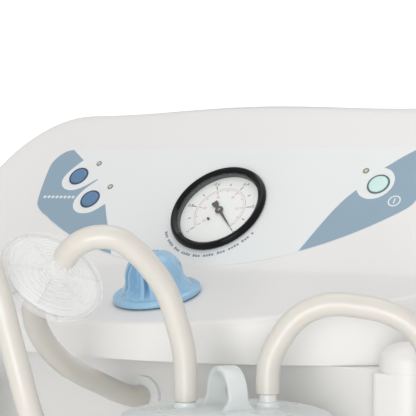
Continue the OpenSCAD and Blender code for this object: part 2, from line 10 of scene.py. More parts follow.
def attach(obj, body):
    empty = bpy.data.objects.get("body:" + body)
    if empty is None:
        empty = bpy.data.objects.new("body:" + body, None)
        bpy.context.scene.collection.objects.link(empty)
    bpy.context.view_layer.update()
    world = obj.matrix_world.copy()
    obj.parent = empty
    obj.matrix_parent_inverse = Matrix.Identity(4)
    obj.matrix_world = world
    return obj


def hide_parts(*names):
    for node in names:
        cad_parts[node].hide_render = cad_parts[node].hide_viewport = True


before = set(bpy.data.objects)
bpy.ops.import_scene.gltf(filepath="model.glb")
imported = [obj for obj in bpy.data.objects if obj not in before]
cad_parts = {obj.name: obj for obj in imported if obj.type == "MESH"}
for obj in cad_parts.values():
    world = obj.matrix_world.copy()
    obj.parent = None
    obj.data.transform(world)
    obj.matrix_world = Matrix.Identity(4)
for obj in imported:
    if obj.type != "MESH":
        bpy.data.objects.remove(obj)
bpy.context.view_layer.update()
scene = bpy.context.scene
MM = 0.001
SHELL_T = 3


def cosd(degrees):
    return math.cos(math.radians(degrees))


def sind(degrees):
    return math.sin(math.radians(degrees))


def shift(x=0, y=0, z=0):
    return Matrix.Translation((x, y, z))


def spin(axis, degrees):
    return Matrix.Rotation(math.radians(degrees), 4, axis)


# ---------------------------------------------------------------- camera
LOOK_TURN = 33
LOOK_DIP = 1.289
camera = bpy.data.objects.new("camera", bpy.data.cameras.new("camera"))
scene.collection.objects.link(camera)
camera.data.lens = 138.46
camera.data.sensor_width = 36
camera.location = (0.6253, -0.9068, 0.8007)
look = Vector((-sind(LOOK_TURN) * cosd(LOOK_DIP), cosd(LOOK_TURN) * cosd(LOOK_DIP), -sind(LOOK_DIP)))
camera.rotation_euler = look.to_track_quat("-Z", "Y").to_euler()
scene.camera = camera


# ---------------------------------------------------------------- materials
def add(tree, kind, inputs=None, **settings):
    """A shader node with its settings and its sockets' values."""
    made = tree.nodes.new(kind)
    for key, value in settings.items():
        setattr(made, key, value)
    for key, value in (inputs or {}).items():
        made.inputs[key].default_value = value
    return made


def surface(name, colour, rough, drift=(0.02, 40), grain=(0.03, 0.8), spread=0.06, stretch=(1, 1, 1),
            **sockets):
    """A finish: drift is its colour's change and the width of its patches in millimetres, grain its bump's
    height and width in millimetres, and spread the change of its roughness."""
    tint, blotch = drift
    grain_height, grain_size = grain
    made = bpy.data.materials.new(name)
    made.use_nodes = True
    tree = made.node_tree
    shader = tree.nodes["Principled BSDF"]
    place = add(tree, "ShaderNodeTexCoord").outputs["Object"]
    mapping = add(tree, "ShaderNodeMapping", {"Scale": stretch})
    cloud = add(tree, "ShaderNodeTexNoise", {"Scale": 1 / (blotch * MM), "Detail": 4.0})
    fine = add(tree, "ShaderNodeTexNoise", {"Scale": 1 / (grain_size * MM), "Detail": 2.0})
    low = [c * (1 - tint) for c in colour] + [1]
    high = [min(1, c * (1 + tint)) for c in colour] + [1]
    mix = add(tree, "ShaderNodeMix", data_type="RGBA")
    mix.inputs[6].default_value = low
    mix.inputs[7].default_value = high
    gloss = add(tree, "ShaderNodeMapRange", {"From Min": 0.3, "From Max": 0.7,
                                             "To Min": max(0.02, rough - spread), "To Max": rough + spread})
    bump = add(tree, "ShaderNodeBump", {"Strength": 0.6, "Distance": grain_height * MM})
    for start, end in ((place, mapping.inputs["Vector"]),
                       (mapping.outputs["Vector"], cloud.inputs["Vector"]),
                       (mapping.outputs["Vector"], fine.inputs["Vector"]),
                       (cloud.outputs["Fac"], mix.inputs["Factor"]),
                       (cloud.outputs["Fac"], gloss.inputs["Value"]),
                       (fine.outputs["Fac"], bump.inputs["Height"]),
                       (mix.outputs[2], shader.inputs["Base Color"]),
                       (gloss.outputs["Result"], shader.inputs["Roughness"]),
                       (bump.outputs["Normal"], shader.inputs["Normal"])):
        tree.links.new(start, end)
    for key, value in sockets.items():
        shader.inputs[key.replace("_", " ")].default_value = value
    return made


def clear(name, colour, rough, face, edge, **look_of):
    """A see-through finish: its cover goes from face, seen square on, to edge, seen at a grazing angle."""
    made = surface(name, colour, rough, **look_of)
    tree = made.node_tree
    weight = add(tree, "ShaderNodeLayerWeight", {"Blend": 0.35})
    cover = add(tree, "ShaderNodeMapRange", {"To Min": face, "To Max": edge})
    tree.links.new(weight.outputs["Facing"], cover.inputs["Value"])
    tree.links.new(cover.outputs["Result"], tree.nodes["Principled BSDF"].inputs["Alpha"])
    return made


SHELL = surface("white_shell", (0.80, 0.79, 0.775), 0.42, drift=(0.012, 70), grain=(0.02, 0.9))
SHELL_GREY = surface("pale_grey", (0.66, 0.67, 0.67), 0.45, drift=(0.02, 60), grain=(0.03, 1.0))
LABEL = surface("label_film", (0.79, 0.81, 0.805), 0.34, drift=(0.008, 40), grain=(0.008, 0.5))
LABEL_BLUE = surface("label_blue", (0.275, 0.382, 0.470), 0.4, drift=(0.025, 18), grain=(0.012, 0.35))
PRINT_WHITE = surface("print_white", (0.75, 0.78, 0.8), 0.45, grain=(0.01, 0.3))
PRINT_INK = surface("print_ink", (0.24, 0.27, 0.35), 0.5, drift=(0.1, 3), grain=(0.01, 0.3))
PRINT_BLACK = surface("print_black", (0.05, 0.05, 0.055), 0.5, drift=(0.1, 3), grain=(0.01, 0.3))
PRINT_RED = surface("print_red", (0.72, 0.22, 0.24), 0.5, drift=(0.08, 3), grain=(0.01, 0.3))
BEZEL = surface("black_gloss", (0.006, 0.006, 0.008), 0.12, drift=(0.2, 40), grain=(0.01, 1.5), spread=0.04,
                Specular_IOR_Level=0.18)
BLACK = surface("black_plastic", (0.025, 0.026, 0.028), 0.45, drift=(0.15, 40), grain=(0.04, 0.7))
DIAL = surface("dial_face", (0.88, 0.89, 0.87), 0.5, drift=(0.015, 12), grain=(0.01, 0.3))
NEEDLE = surface("needle_black", (0.05, 0.048, 0.045), 0.4, drift=(0.1, 4), grain=(0.01, 0.3))
GLASS = clear("gauge_glass", (0.9, 0.93, 0.93), 0.06, 0.015, 0.10, grain=(0.004, 4), spread=0.02)
NAVY = surface("navy_rubber", (0.05, 0.085, 0.155), 0.5, drift=(0.08, 4), grain=(0.02, 0.4))
TEAL = surface("teal_rubber", (0.10, 0.17, 0.20), 0.5, drift=(0.08, 4), grain=(0.02, 0.4))
BLUE_CAP = surface("blue_cap", (0.105, 0.215, 0.375), 0.35, drift=(0.06, 4), grain=(0.03, 0.5))
MINT_CAP = surface("mint_cap", (0.62, 0.82, 0.76), 0.35, drift=(0.03, 4), grain=(0.03, 0.5),
                   Subsurface_Weight=0.15, Subsurface_Scale=0.003)
LAMP = surface("lamp_lens", (0.66, 0.56, 0.44), 0.15, drift=(0.06, 2), grain=(0.02, 0.4),
               Subsurface_Weight=0.3, Subsurface_Scale=0.002)
LAMP_RING = surface("lamp_ring", (0.22, 0.26, 0.22), 0.3, drift=(0.08, 3), grain=(0.01, 0.4))
KNOB = surface("knob_blue", (0.30, 0.52, 0.72), 0.28, drift=(0.03, 15), grain=(0.012, 0.8),
               Coat_Weight=0.25, Coat_Roughness=0.15, Subsurface_Weight=0.08, Subsurface_Scale=0.003)
TUBE = surface("silicone_tube", (0.69, 0.67, 0.615), 0.36, drift=(0.02, 25), grain=(0.03, 2.5),
               Subsurface_Weight=0.35, Subsurface_Scale=0.006, Coat_Weight=0.2, Coat_Roughness=0.15)
LID = surface("lid_grey", (0.70, 0.735, 0.73), 0.3, drift=(0.02, 30), grain=(0.02, 1.2),
              Subsurface_Weight=0.2, Subsurface_Scale=0.004)
PORT = surface("port_white", (0.83, 0.84, 0.83), 0.25, drift=(0.02, 8), grain=(0.01, 0.6),
               Subsurface_Weight=0.3, Subsurface_Scale=0.003)
JAR = clear("jar_clear", (0.82, 0.88, 0.88), 0.08, 0.10, 0.55, drift=(0.03, 50), grain=(0.02, 20),
            spread=0.03)
FILTER = clear("filter_clear", (0.99, 0.99, 0.99), 0.12, 0.08, 0.42, drift=(0.01, 12), grain=(0.02, 3),
               spread=0.04, Coat_Weight=0.4, Coat_Roughness=0.06)
MEMBRANE = surface("membrane_paper", (0.95, 0.95, 0.945), 0.8, drift=(0.03, 6), grain=(0.06, 0.5))
SEAL = surface("white_silicone", (0.76, 0.76, 0.74), 0.5, drift=(0.03, 40), grain=(0.03, 1.0),
               Subsurface_Weight=0.2, Subsurface_Scale=0.003)
ORANGE = surface("float_orange", (0.85, 0.30, 0.06), 0.4, drift=(0.05, 12), grain=(0.04, 0.8))
HOLDER = surface("holder_grey", (0.23, 0.245, 0.25), 0.5, drift=(0.06, 20), grain=(0.06, 0.7))
STEEL = surface("brushed_steel", (0.62, 0.62, 0.61), 0.28, drift=(0.05, 25), grain=(0.01, 0.7), spread=0.08,
                stretch=(0.05, 1, 1), Metallic=1.0)
BRASS = surface("brass", (0.70, 0.52, 0.26), 0.3, drift=(0.06, 12), grain=(0.02, 0.6), Metallic=1.0)
MOTOR = surface("motor_paint", (0.16, 0.20, 0.25), 0.42, drift=(0.06, 10), grain=(0.12, 3.0))
CAST = surface("cast_alloy", (0.50, 0.51, 0.52), 0.48, drift=(0.08, 8), grain=(0.10, 1.2), Metallic=0.9)
RUBBER = surface("rubber_grey", (0.10, 0.10, 0.10), 0.75, drift=(0.1, 8), grain=(0.08, 0.9))
TYRE = surface("tyre_grey", (0.14, 0.145, 0.15), 0.6, drift=(0.1, 12), grain=(0.08, 1.4))
HUB = surface("hub_nylon", (0.55, 0.56, 0.57), 0.4, drift=(0.04, 12), grain=(0.04, 0.8))
PEDAL = surface("pedal_red", (0.55, 0.05, 0.05), 0.4, drift=(0.06, 9), grain=(0.04, 0.7))
CHASSIS = surface("chassis_paint", (0.34, 0.35, 0.36), 0.4, drift=(0.05, 30), grain=(0.08, 1.6))
BOARD = surface("board_green", (0.03, 0.16, 0.08), 0.35, drift=(0.25, 3), grain=(0.05, 1.5),
                stretch=(1, 4, 1))
BAR = surface("handle_chrome", (0.74, 0.74, 0.74), 0.16, drift=(0.03, 30), grain=(0.01, 1.0), spread=0.05,
              Metallic=1.0)


# ---------------------------------------------------------------- tubes
TUBE_D = 0.014
FILTER_ROUTE = [(0.0531, -0.1782, 0.7504), (0.060, -0.1802, 0.7563), (0.0675, -0.1795, 0.761),
                (0.076, -0.1755, 0.7636), (0.0845, -0.1695, 0.7623), (0.091, -0.1625, 0.7563),
                (0.097, -0.1535, 0.7455), (0.102, -0.1455, 0.732), (0.1055, -0.1398, 0.714),
                (0.108, -0.136, 0.696), (0.108, -0.1345, 0.683), (0.108, -0.134, 0.668)]
INLET_ROUTE = [(0.0299, -0.1714, 0.7294), (0.0235, -0.169, 0.7228), (0.019, -0.1635, 0.713),
               (0.017, -0.154, 0.701), (0.0165, -0.137, 0.6865), (0.014, -0.112, 0.6745),
               (0.012, -0.087, 0.665), (0.013, -0.067, 0.657), (0.015, -0.054, 0.6532),
               (0.015, -0.047, 0.653)]
LEFT_ROUTE = [(-0.108, -0.108, 0.668), (-0.108, -0.109, 0.690), (-0.105, -0.117, 0.716),
              (-0.094, -0.134, 0.745),
              (-0.070, -0.158, 0.768), (-0.042, -0.182, 0.780), (-0.012, -0.205, 0.781),
              (0.014, -0.218, 0.772),
              (0.030, -0.222, 0.756), (0.039, -0.220, 0.734), (0.044, -0.217, 0.711),
              (0.049, -0.214, 0.689),
              (0.053, -0.208, 0.663), (0.054, -0.192, 0.635), (0.051, -0.166, 0.612),
              (0.046, -0.135, 0.598),
              (0.041, -0.105, 0.5925), (0.040, -0.080, 0.592), (0.040, -0.074, 0.592)]
PATIENT_ROUTE = [(0.148, -0.108, 0.672), (0.148, -0.108, 0.680), (0.149, -0.107, 0.691),
                 (0.155, -0.104, 0.705),
                 (0.1635, -0.100, 0.716), (0.173, -0.095, 0.722), (0.183, -0.090, 0.724),
                 (0.195, -0.084, 0.723),
                 (0.209, -0.078, 0.720), (0.222, -0.073, 0.713), (0.231, -0.071, 0.702),
                 (0.236, -0.073, 0.688),
                 (0.237, -0.076, 0.670), (0.236, -0.080, 0.640), (0.235, -0.082, 0.600),
                 (0.234, -0.084, 0.550),
                 (0.233, -0.085, 0.500), (0.231, -0.086, 0.440), (0.229, -0.086, 0.380),
                 (0.226, -0.084, 0.320),
                 (0.222, -0.082, 0.275), (0.214, -0.082, 0.238), (0.203, -0.087, 0.210),
                 (0.193, -0.100, 0.194),
                 (0.188, -0.116, 0.189)]
TAIL_ROUTE = [(0.105, -0.194, 0.1572), (0.085, -0.192, 0.1572), (0.062, -0.189, 0.1572),
              (0.040, -0.187, 0.158)]
COIL_AT = (0.120, -0.126)
COIL_R = 0.068
COIL_TURNS = 2.25
COIL_START_Z = 0.1885
COIL_END_Z = 0.1572
COIL_STEPS = 36


def coil_route():
    """The coil's turns, clockwise and downwards, a tube's diameter apart."""
    route = []
    for i in range(COIL_STEPS + 1):
        along = i / COIL_STEPS
        turn = -2 * math.pi * COIL_TURNS * along
        route.append((COIL_AT[0] + COIL_R * math.cos(turn), COIL_AT[1] + COIL_R * math.sin(turn),
                      COIL_START_Z + (COIL_END_Z - COIL_START_Z) * along))
    return route


def tube(name, route, *nodes):
    """A round tube on one smooth curve through its route."""
    data = bpy.data.curves.new(name, "CURVE")
    data.dimensions = "3D"
    data.resolution_u = 10
    data.bevel_depth = TUBE_D / 2
    data.bevel_resolution = 6
    data.use_fill_caps = True
    line = data.splines.new("BEZIER")
    line.bezier_points.add(len(route) - 1)
    for point, place in zip(line.bezier_points, route):
        point.co = place
        point.handle_left_type = "AUTO"
        point.handle_right_type = "AUTO"
    made = bpy.data.objects.new(name, data)
    scene.collection.objects.link(made)
    made.data.materials.append(TUBE)
    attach(made, "frame")
    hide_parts(*nodes)
    return made


filter_tube = tube("filter_tube", FILTER_ROUTE, "tube_filter")
inlet_tube = tube("inlet_tube", INLET_ROUTE, "tube_inlet")
left_tube = tube("left_tube", LEFT_ROUTE, "tube_left")
patient_tube = tube("patient_tube", PATIENT_ROUTE + coil_route() + TAIL_ROUTE, "tube_patient", "tube_coil")


# ---------------------------------------------------------------- shapes
def join(*parts):
    """One set of points and faces out of several."""
    points = []
    faces = []
    for some_points, some_faces in parts:
        start = len(points)
        points += [tuple(p) for p in some_points]
        faces += [tuple(start + i for i in face) for face in some_faces]
    return points, faces


def placed(part, matrix):
    return [tuple(matrix @ Vector(p)) for p in part[0]], part[1]


def moved(part, x=0, y=0, z=0):
    return placed(part, shift(x, y, z))


def grid(rows, around=False, ends=False):
    """Faces over rows of points; around closes each row, ends caps the first and the last."""
    count = len(rows[0])
    points = [p for row in rows for p in row]
    faces = []
    for i in range(len(rows) - 1):
        for k in range(count if around else count - 1):
            n = (k + 1) % count
            faces.append((i * count + k, i * count + n, (i + 1) * count + n, (i + 1) * count + k))
    if ends:
        faces.append(tuple(range(count - 1, -1, -1)))
        faces.append(tuple((len(rows) - 1) * count + k for k in range(count)))
    return points, faces


def fillet(corners, radius=0.0, steps=4):
    """A closed outline with round corners; a corner (x, y, r) has its own radius."""
    out = []
    count = len(corners)
    for i, corner in enumerate(corners):
        here = Vector(corner[:2])
        before = Vector(corners[i - 1][:2]) - here
        after = Vector(corners[(i + 1) % count][:2]) - here
        r = corner[2] if len(corner) > 2 else radius
        bend = before.angle(after)
        if r <= 0 or abs(math.pi - bend) < 0.02:
            out += [tuple(here)] * (steps + 1 if len(corner) > 2 else 1)
            continue
        reach = min(r / math.tan(bend / 2), 0.49 * before.length, 0.49 * after.length)
        a = here + before.normalized() * reach
        b = here + after.normalized() * reach
        r = reach * math.tan(bend / 2)
        middle = here + (before.normalized() + after.normalized()).normalized() * (r / math.sin(bend / 2))
        start = (a - middle).normalized()
        end = (b - middle).normalized()
        whole = math.acos(max(-1, min(1, start.dot(end))))
        for k in range(steps + 1):
            t = k / steps
            way = (start * math.sin((1 - t) * whole) + end * math.sin(t * whole)) / math.sin(whole)
            out.append(tuple(middle + way * r))
    return out


def rectangle(x0, y0, x1, y1, r=0.0, steps=6):
    return fillet([(x0, y0), (x1, y0), (x1, y1), (x0, y1)], r, steps)


def lathe(outline, sides=72, wave=None):
    """A closed outline of (radius, height) turned round Z; wave(turn) scales the radius."""
    rows = []
    for r, z in list(outline) + [outline[0]]:
        row = []
        for k in range(sides):
            turn = 2 * math.pi * k / sides
            reach = r * (wave(turn) if wave else 1)
            row.append((reach * math.cos(turn), reach * math.sin(turn), z))
        rows.append(row)
    return grid(rows, around=True)


def slab(outline, z0, z1, edge=0.8, steps=3):
    """An outline raised from z0 to z1, with both its edges rounded."""
    count = len(outline)
    normals = []
    for i in range(count):
        run = Vector(outline[(i + 1) % count]) - Vector(outline[i - 1])
        normals.append(Vector((-run.y, run.x)).normalized())
    rows = []
    for low, base, sign in ((True, z0 + edge, -1), (False, z1 - edge, 1)):
        for k in range(steps + 1):
            lean = math.pi / 2 * (1 - k / steps if low else k / steps)
            inset = edge * (1 - math.cos(lean))
            height = base + sign * edge * math.sin(lean)
            rows.append([(p[0] + n.x * inset, p[1] + n.y * inset, height)
                         for p, n in zip(outline, normals)])
    return grid(rows, around=True, ends=True)


def sweep(route, section, sizes=None, side=None):
    """A section carried along a route of points; sizes scale it, as (across, thick), at each point."""
    route = [Vector(p) for p in route]
    rows = []
    for i, p in enumerate(route):
        way = (route[min(i + 1, len(route) - 1)] - route[max(i - 1, 0)]).normalized()
        if side is None or i == 0 and not isinstance(side, Vector):
            side = way.orthogonal().normalized()
        side = (side - way * side.dot(way)).normalized()
        up = way.cross(side)
        a, b = sizes[i] if sizes else (1, 1)
        rows.append([tuple(p + side * (u * a) + up * (v * b)) for u, v in section])
    return grid(rows, around=True, ends=True)


def circle(r, sides=24):
    turns = [2 * math.pi * k / sides for k in range(sides)]
    return [(r * math.cos(turn), r * math.sin(turn)) for turn in turns]


def arc(x, y, r, start, end, steps=12):
    """Points on an arc, with its angles in degrees."""
    turns = [math.radians(start + (end - start) * k / steps) for k in range(steps + 1)]
    return [(x + r * math.cos(t), y + r * math.sin(t)) for t in turns]


def smooth_line(points, steps=5):
    """A smooth open line through points."""
    out = []
    ends = [points[0]] + list(points) + [points[-1]]
    for a, b, c, d in zip(ends, ends[1:], ends[2:], ends[3:]):
        for k in range(steps):
            t = k / steps
            out.append(tuple(0.5 * (2 * b[i] + (c[i] - a[i]) * t
                                    + (2 * a[i] - 5 * b[i] + 4 * c[i] - d[i]) * t * t
                                    + (3 * b[i] - a[i] - 3 * c[i] + d[i]) * t ** 3) for i in (0, 1)))
    return out + [tuple(points[-1])]


def curve_faces(data, drop=0.0):
    """The faces of a flat curve or a text, lowered by drop."""
    holder = bpy.data.objects.new("outline", data)
    mesh = bpy.data.meshes.new_from_object(holder)
    points = [(v.co.x, v.co.y, v.co.z - drop) for v in mesh.vertices]
    faces = [tuple(f.vertices) for f in mesh.polygons]
    bpy.data.objects.remove(holder)
    bpy.data.curves.remove(data)
    bpy.data.meshes.remove(mesh)
    return points, faces


def text_shape(words, size):
    """The faces of a number, centred, in millimetres."""
    data = bpy.data.curves.new("number", "FONT")
    data.body = words
    data.size = size
    data.align_x = "CENTER"
    data.align_y = "CENTER"
    data.resolution_u = 3
    return curve_faces(data)


def flat_shape(outlines, thick):
    """Outlines filled, with those inside others as holes, and given a thickness below their plane."""
    data = bpy.data.curves.new("outline", "CURVE")
    data.dimensions = "2D"
    data.fill_mode = "BOTH"
    data.extrude = thick / 2
    for outline in outlines:
        line = data.splines.new("POLY")
        line.points.add(len(outline) - 1)
        line.use_cyclic_u = True
        for point, place in zip(line.points, outline):
            point.co = (place[0], place[1], 0, 1)
    return curve_faces(data, thick / 2)


def piece(name, parts, body="frame", nodes=(), sharp=35, turn_out=True):
    """One piece out of (points, faces) and material pairs, riding on a body and standing for its nodes."""
    data = bpy.data.meshes.new(name)
    made = bpy.data.objects.new(name, data)
    scene.collection.objects.link(made)
    points, faces = join(*[part for part, finish in parts])
    data.from_pydata([tuple(MM * c for c in p) for p in points], [], faces)
    start = 0
    finishes = []
    for part, finish in parts:
        if finish not in finishes:
            finishes.append(finish)
            data.materials.append(finish)
        for k in range(len(part[1])):
            data.polygons[start + k].material_index = finishes.index(finish)
        start += len(part[1])
    work = bmesh.new()
    work.from_mesh(data)
    bmesh.ops.remove_doubles(work, verts=work.verts, dist=1e-6)
    bmesh.ops.dissolve_degenerate(work, edges=work.edges, dist=1e-7)
    if turn_out:
        bmesh.ops.recalc_face_normals(work, faces=work.faces)
    work.to_mesh(data)
    work.free()
    data.shade_smooth()
    data.set_sharp_from_angle(angle=math.radians(sharp))
    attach(made, body)
    if nodes:
        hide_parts(*nodes)
    return made


def bevelled(made, width, steps=3, angle=35):
    """Rounds a piece's sharp edges."""
    edge = made.modifiers.new("edges", "BEVEL")
    edge.width = width * MM
    edge.segments = steps
    edge.limit_method = "ANGLE"
    edge.angle_limit = math.radians(angle)
    edge.harden_normals = True
    return made


def walled(made):
    """Gives a shell's surface its wall, on the inside."""
    wall = made.modifiers.new("wall", "SOLIDIFY")
    wall.thickness = SHELL_T * MM
    wall.offset = -1
    return made


def dress(name, finish, edge=0.0):
    """A CAD node that stays, with its finish and, where asked, rounded edges."""
    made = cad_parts[name]
    made.data.materials.clear()
    made.data.materials.append(finish)
    if edge:
        bevelled(made, edge, 2, 40)
    return made


def cut_at(made, depth, keep_front):
    """Cuts a piece at a plane across Y and keeps one side."""
    work = bmesh.new()
    work.from_mesh(made.data)
    bmesh.ops.bisect_plane(work, geom=work.verts[:] + work.edges[:] + work.faces[:],
                           plane_co=(0, depth * MM, 0), plane_no=(0, 1, 0),
                           clear_outer=keep_front, clear_inner=not keep_front)
    work.to_mesh(made.data)
    work.free()


def apply_changes(made):
    """Makes a piece's modifiers part of its mesh."""
    bpy.context.view_layer.update()
    ready = made.evaluated_get(bpy.context.evaluated_depsgraph_get())
    mesh = bpy.data.meshes.new_from_object(ready)
    made.modifiers.clear()
    old = made.data
    made.data = mesh
    mesh.name = made.name
    bpy.data.meshes.remove(old)


# ---------------------------------------------------------------- cords
TIE_TURN = 205


def coil_tie():
    """A soft strap round the coil's turns, with a stud."""
    middle_z = (COIL_START_Z + COIL_END_Z) / 2 / MM
    tall = (COIL_START_Z - COIL_END_Z) / MM / 2 + 10
    loop = rectangle(-9.2, -tall, 9.2, tall, 7.5, 8)
    turn = shift(COIL_AT[0] / MM, COIL_AT[1] / MM, middle_z) @ spin("Z", TIE_TURN)
    route = [turn @ Vector((COIL_R / MM + u, 0, v)) for u, v in loop + loop[:1]]
    band = sweep(route, fillet([(-4, -0.8), (4, -0.8), (4, 0.8), (-4, 0.8)], 0.5, 2),
                 side=turn.to_3x3() @ Vector((0, 1, 0)))
    stud = placed(lathe(fillet([(0, 0), (2.6, 0), (2.6, 2), (0, 2.6)], 0.5, 3), 24),
                  turn @ shift(COIL_R / MM + 9.6, 0, 0) @ spin("Y", 90))
    return piece("coil_tie", [(band, SEAL), (stud, SEAL)])


def connector():
    """The funnel connector at the patient tube's end: ribs on its body and a stepped tip."""
    outline = [(2.5, 0), (8.2, 0)]
    for z in range(4, 20, 4):
        outline += [(8.2, z), (8.7, z + 0.8), (8.7, z + 1.6), (8.2, z + 2.4)]
    outline += [(8.2, 22), (7, 26), (7, 32), (5.2, 36), (5.2, 44), (5.6, 45), (5.0, 50), (5.0, 61),
                (4.6, 62),
                (2.5, 62)]
    stand = shift(46, -187, 158.6) @ spin("Y", -90)
    return piece("funnel_connector", [(placed(lathe(fillet(outline, 0.3, 2), 48), stand), PORT)],
                 nodes=["patient_connector"])


FILTER_R = 32.5
FILTER_PLACE = shift(41.5, -174.8, 739.9) @ spin("Z", -16.4) @ spin("Y", 49)
RIB_COUNT = 9
RIB_STEP = 2.6


def filter_half():
    """One half of the disc filter: rings on a shallow cone, a welded rim, radial webs and a nozzle."""
    outline = [(0, 0.8), (29.6, 0.8), (29.6, 0.15), (FILTER_R - 0.5, 0.15), (FILTER_R, 0.7),
               (FILTER_R, 2.0),
               (FILTER_R - 0.6, 2.5), (31.6, 2.6), (31.3, 3.6), (30.6, 3.7), (30.2, 3.2)]
    for k in range(RIB_COUNT):
        r = 29.2 - RIB_STEP * k
        low = 3.1 + (30 - r) * 0.11
        outline += [(r, low), (r - 0.35, low + 0.95), (r - 0.95, low + 1.0), (r - 1.3, low + 0.1)]
    outline += [(6.4, 6.0), (6.0, 9.0), (5.2, 10.2), (4.3, 10.6), (4.2, 18), (4.6, 18.4), (4.2, 21),
                (4.2, 26.4),
                (3.8, 27), (2.8, 27), (2.8, 9), (0, 9)]
    web = slab(rectangle(8, -0.6, 30, 0.6, 0.3, 2), 3.1, 5.0, 0.3, 2)
    return join(lathe(outline, 96), *[placed(web, spin("Z", 60 * k + 15)) for k in range(6)])


def disc_filter():
    half = filter_half()
    other = placed(half, spin("X", 180))
    grip = lathe([(FILTER_R - 1, -1.6), (FILTER_R + 0.35, -1.2), (FILTER_R + 0.35, 1.2),
                  (FILTER_R - 1, 1.6)],
                 120, lambda turn: 1 + 0.006 * math.sin(30 * turn))
    shell = piece("disc_filter", [(placed(join(half, other, grip), FILTER_PLACE), FILTER)],
                  nodes=["filter_housing"])
    pleats = []
    for k in range(121):
        turn = 2 * math.pi * k / 120
        pleats.append([(r * math.cos(turn), r * math.sin(turn),
                        0.25 * math.sin(1.5 * r)) for r in range(30)])
    paper = piece("filter_paper", [(placed(grid(pleats), FILTER_PLACE), MEMBRANE)],
                  nodes=["filter_membrane"])
    return shell, paper


tie = coil_tie()
funnel = connector()
filter_shell, filter_paper = disc_filter()

# ---------------------------------------------------------------- console
PANEL_Y = 51.1
PANEL_Z = 770.9
PANEL_X = 15
PANEL_SLOPE = 50
PANEL_RISE = math.tan(math.radians(PANEL_SLOPE))
LEDGE_SLOPE = 15.5
LEDGE_RISE = math.tan(math.radians(LEDGE_SLOPE))
GAUGE_AT = (-4.2, 4)
RIM_Y = -89
RIM_Z = 704
RIM_R = 300
RIM_CENTRE_Y = RIM_Y + RIM_R
CONSOLE_TOP = 850
CONSOLE_LOW = 682
CONSOLE_HALF = 225
CORNER_R = 72
BACK_Y = 160
SPLIT_Y = 120
SEAM = 0.45
CROWN = 4.5
CROWN_RUN = 140
PANEL = shift(PANEL_X, PANEL_Y, PANEL_Z) @ spin("X", PANEL_SLOPE)
KNOB_X = 20.5
KNOB_Y = -37
KNOB_Z = RIM_Z + (KNOB_Y - RIM_Y) * LEDGE_RISE
LEDGE = shift(KNOB_X, KNOB_Y, KNOB_Z) @ spin("X", LEDGE_SLOPE)
ON_OFF = (115, 27.7)
FOOT_UPPER = (-144.5, 34.3)
FOOT_LOWER = (-122.8, 11.9)
BUTTONS = (ON_OFF, FOOT_UPPER, FOOT_LOWER)
LAMPS = [(101.7, 39.6), (-131, 47), (-109.5, 24)]
BUTTON_R = 7.1
LAMP_R = 2.2
GAUGE_HOLE_R = 32.7


def blend_max(a, b, k):
    """The larger of two distances, rounded over k."""
    h = np.maximum(k - np.abs(a - b), 0) / k
    return np.maximum(a, b) + h * h * k / 4


def crown(x):
    return CROWN * (1 - np.cos(math.pi * np.minimum(np.abs(x), CROWN_RUN) / CROWN_RUN)) / 2


def console_distance(p):
    """How far points are outside the console's rounded form."""
    x, y, z = p.T
    ledge = (z - RIM_Z - (y - RIM_Y) * LEDGE_RISE) * cosd(LEDGE_SLOPE)
    panel = (z - PANEL_Z - (y - PANEL_Y) * PANEL_RISE) * cosd(PANEL_SLOPE)
    across = np.abs(x) - (CONSOLE_HALF - CORNER_R)
    above = z + crown(x) - (CONSOLE_TOP - CORNER_R)
    outline = (np.hypot(np.maximum(across, 0), np.maximum(above, 0))
               + np.minimum(np.maximum(across, above), 0) - CORNER_R)
    form = blend_max(-blend_max(-ledge, -panel, 3), outline, 7)
    form = blend_max(form, np.hypot(x, y - RIM_CENTRE_Y) - RIM_R, 4)
    return blend_max(form, y - BACK_Y, 12)


def eased(count):
    return [(1 - math.cos(math.pi * i / count)) / 2 for i in range(count + 1)]


def console_profile(x, top):
    """The unrounded section at x, from the front's lower edge over the top to the back's lower edge."""
    front = RIM_CENTRE_Y - math.sqrt(RIM_R ** 2 - x * x)
    rim = RIM_Z + (front - RIM_Y) * LEDGE_RISE
    fold = (RIM_Z - RIM_Y * LEDGE_RISE - PANEL_Z + PANEL_Y * PANEL_RISE) / (PANEL_RISE - LEDGE_RISE)
    brow = PANEL_Y + (top - PANEL_Z) / PANEL_RISE
    corners = [(front, CONSOLE_LOW, 8), (front, rim, 22),
               (fold, RIM_Z + (fold - RIM_Y) * LEDGE_RISE, 24), (brow, top, 14), (BACK_Y, top, 12),
               (BACK_Y, CONSOLE_LOW, 0)]
    line = []
    for (y0, z0, count), (y1, z1, _) in zip(corners, corners[1:]):
        line += [(x, y0 + (y1 - y0) * t, z0 + (z1 - z0) * t) for t in eased(count)[:-1]]
    return line + [(x, BACK_Y, CONSOLE_LOW)]


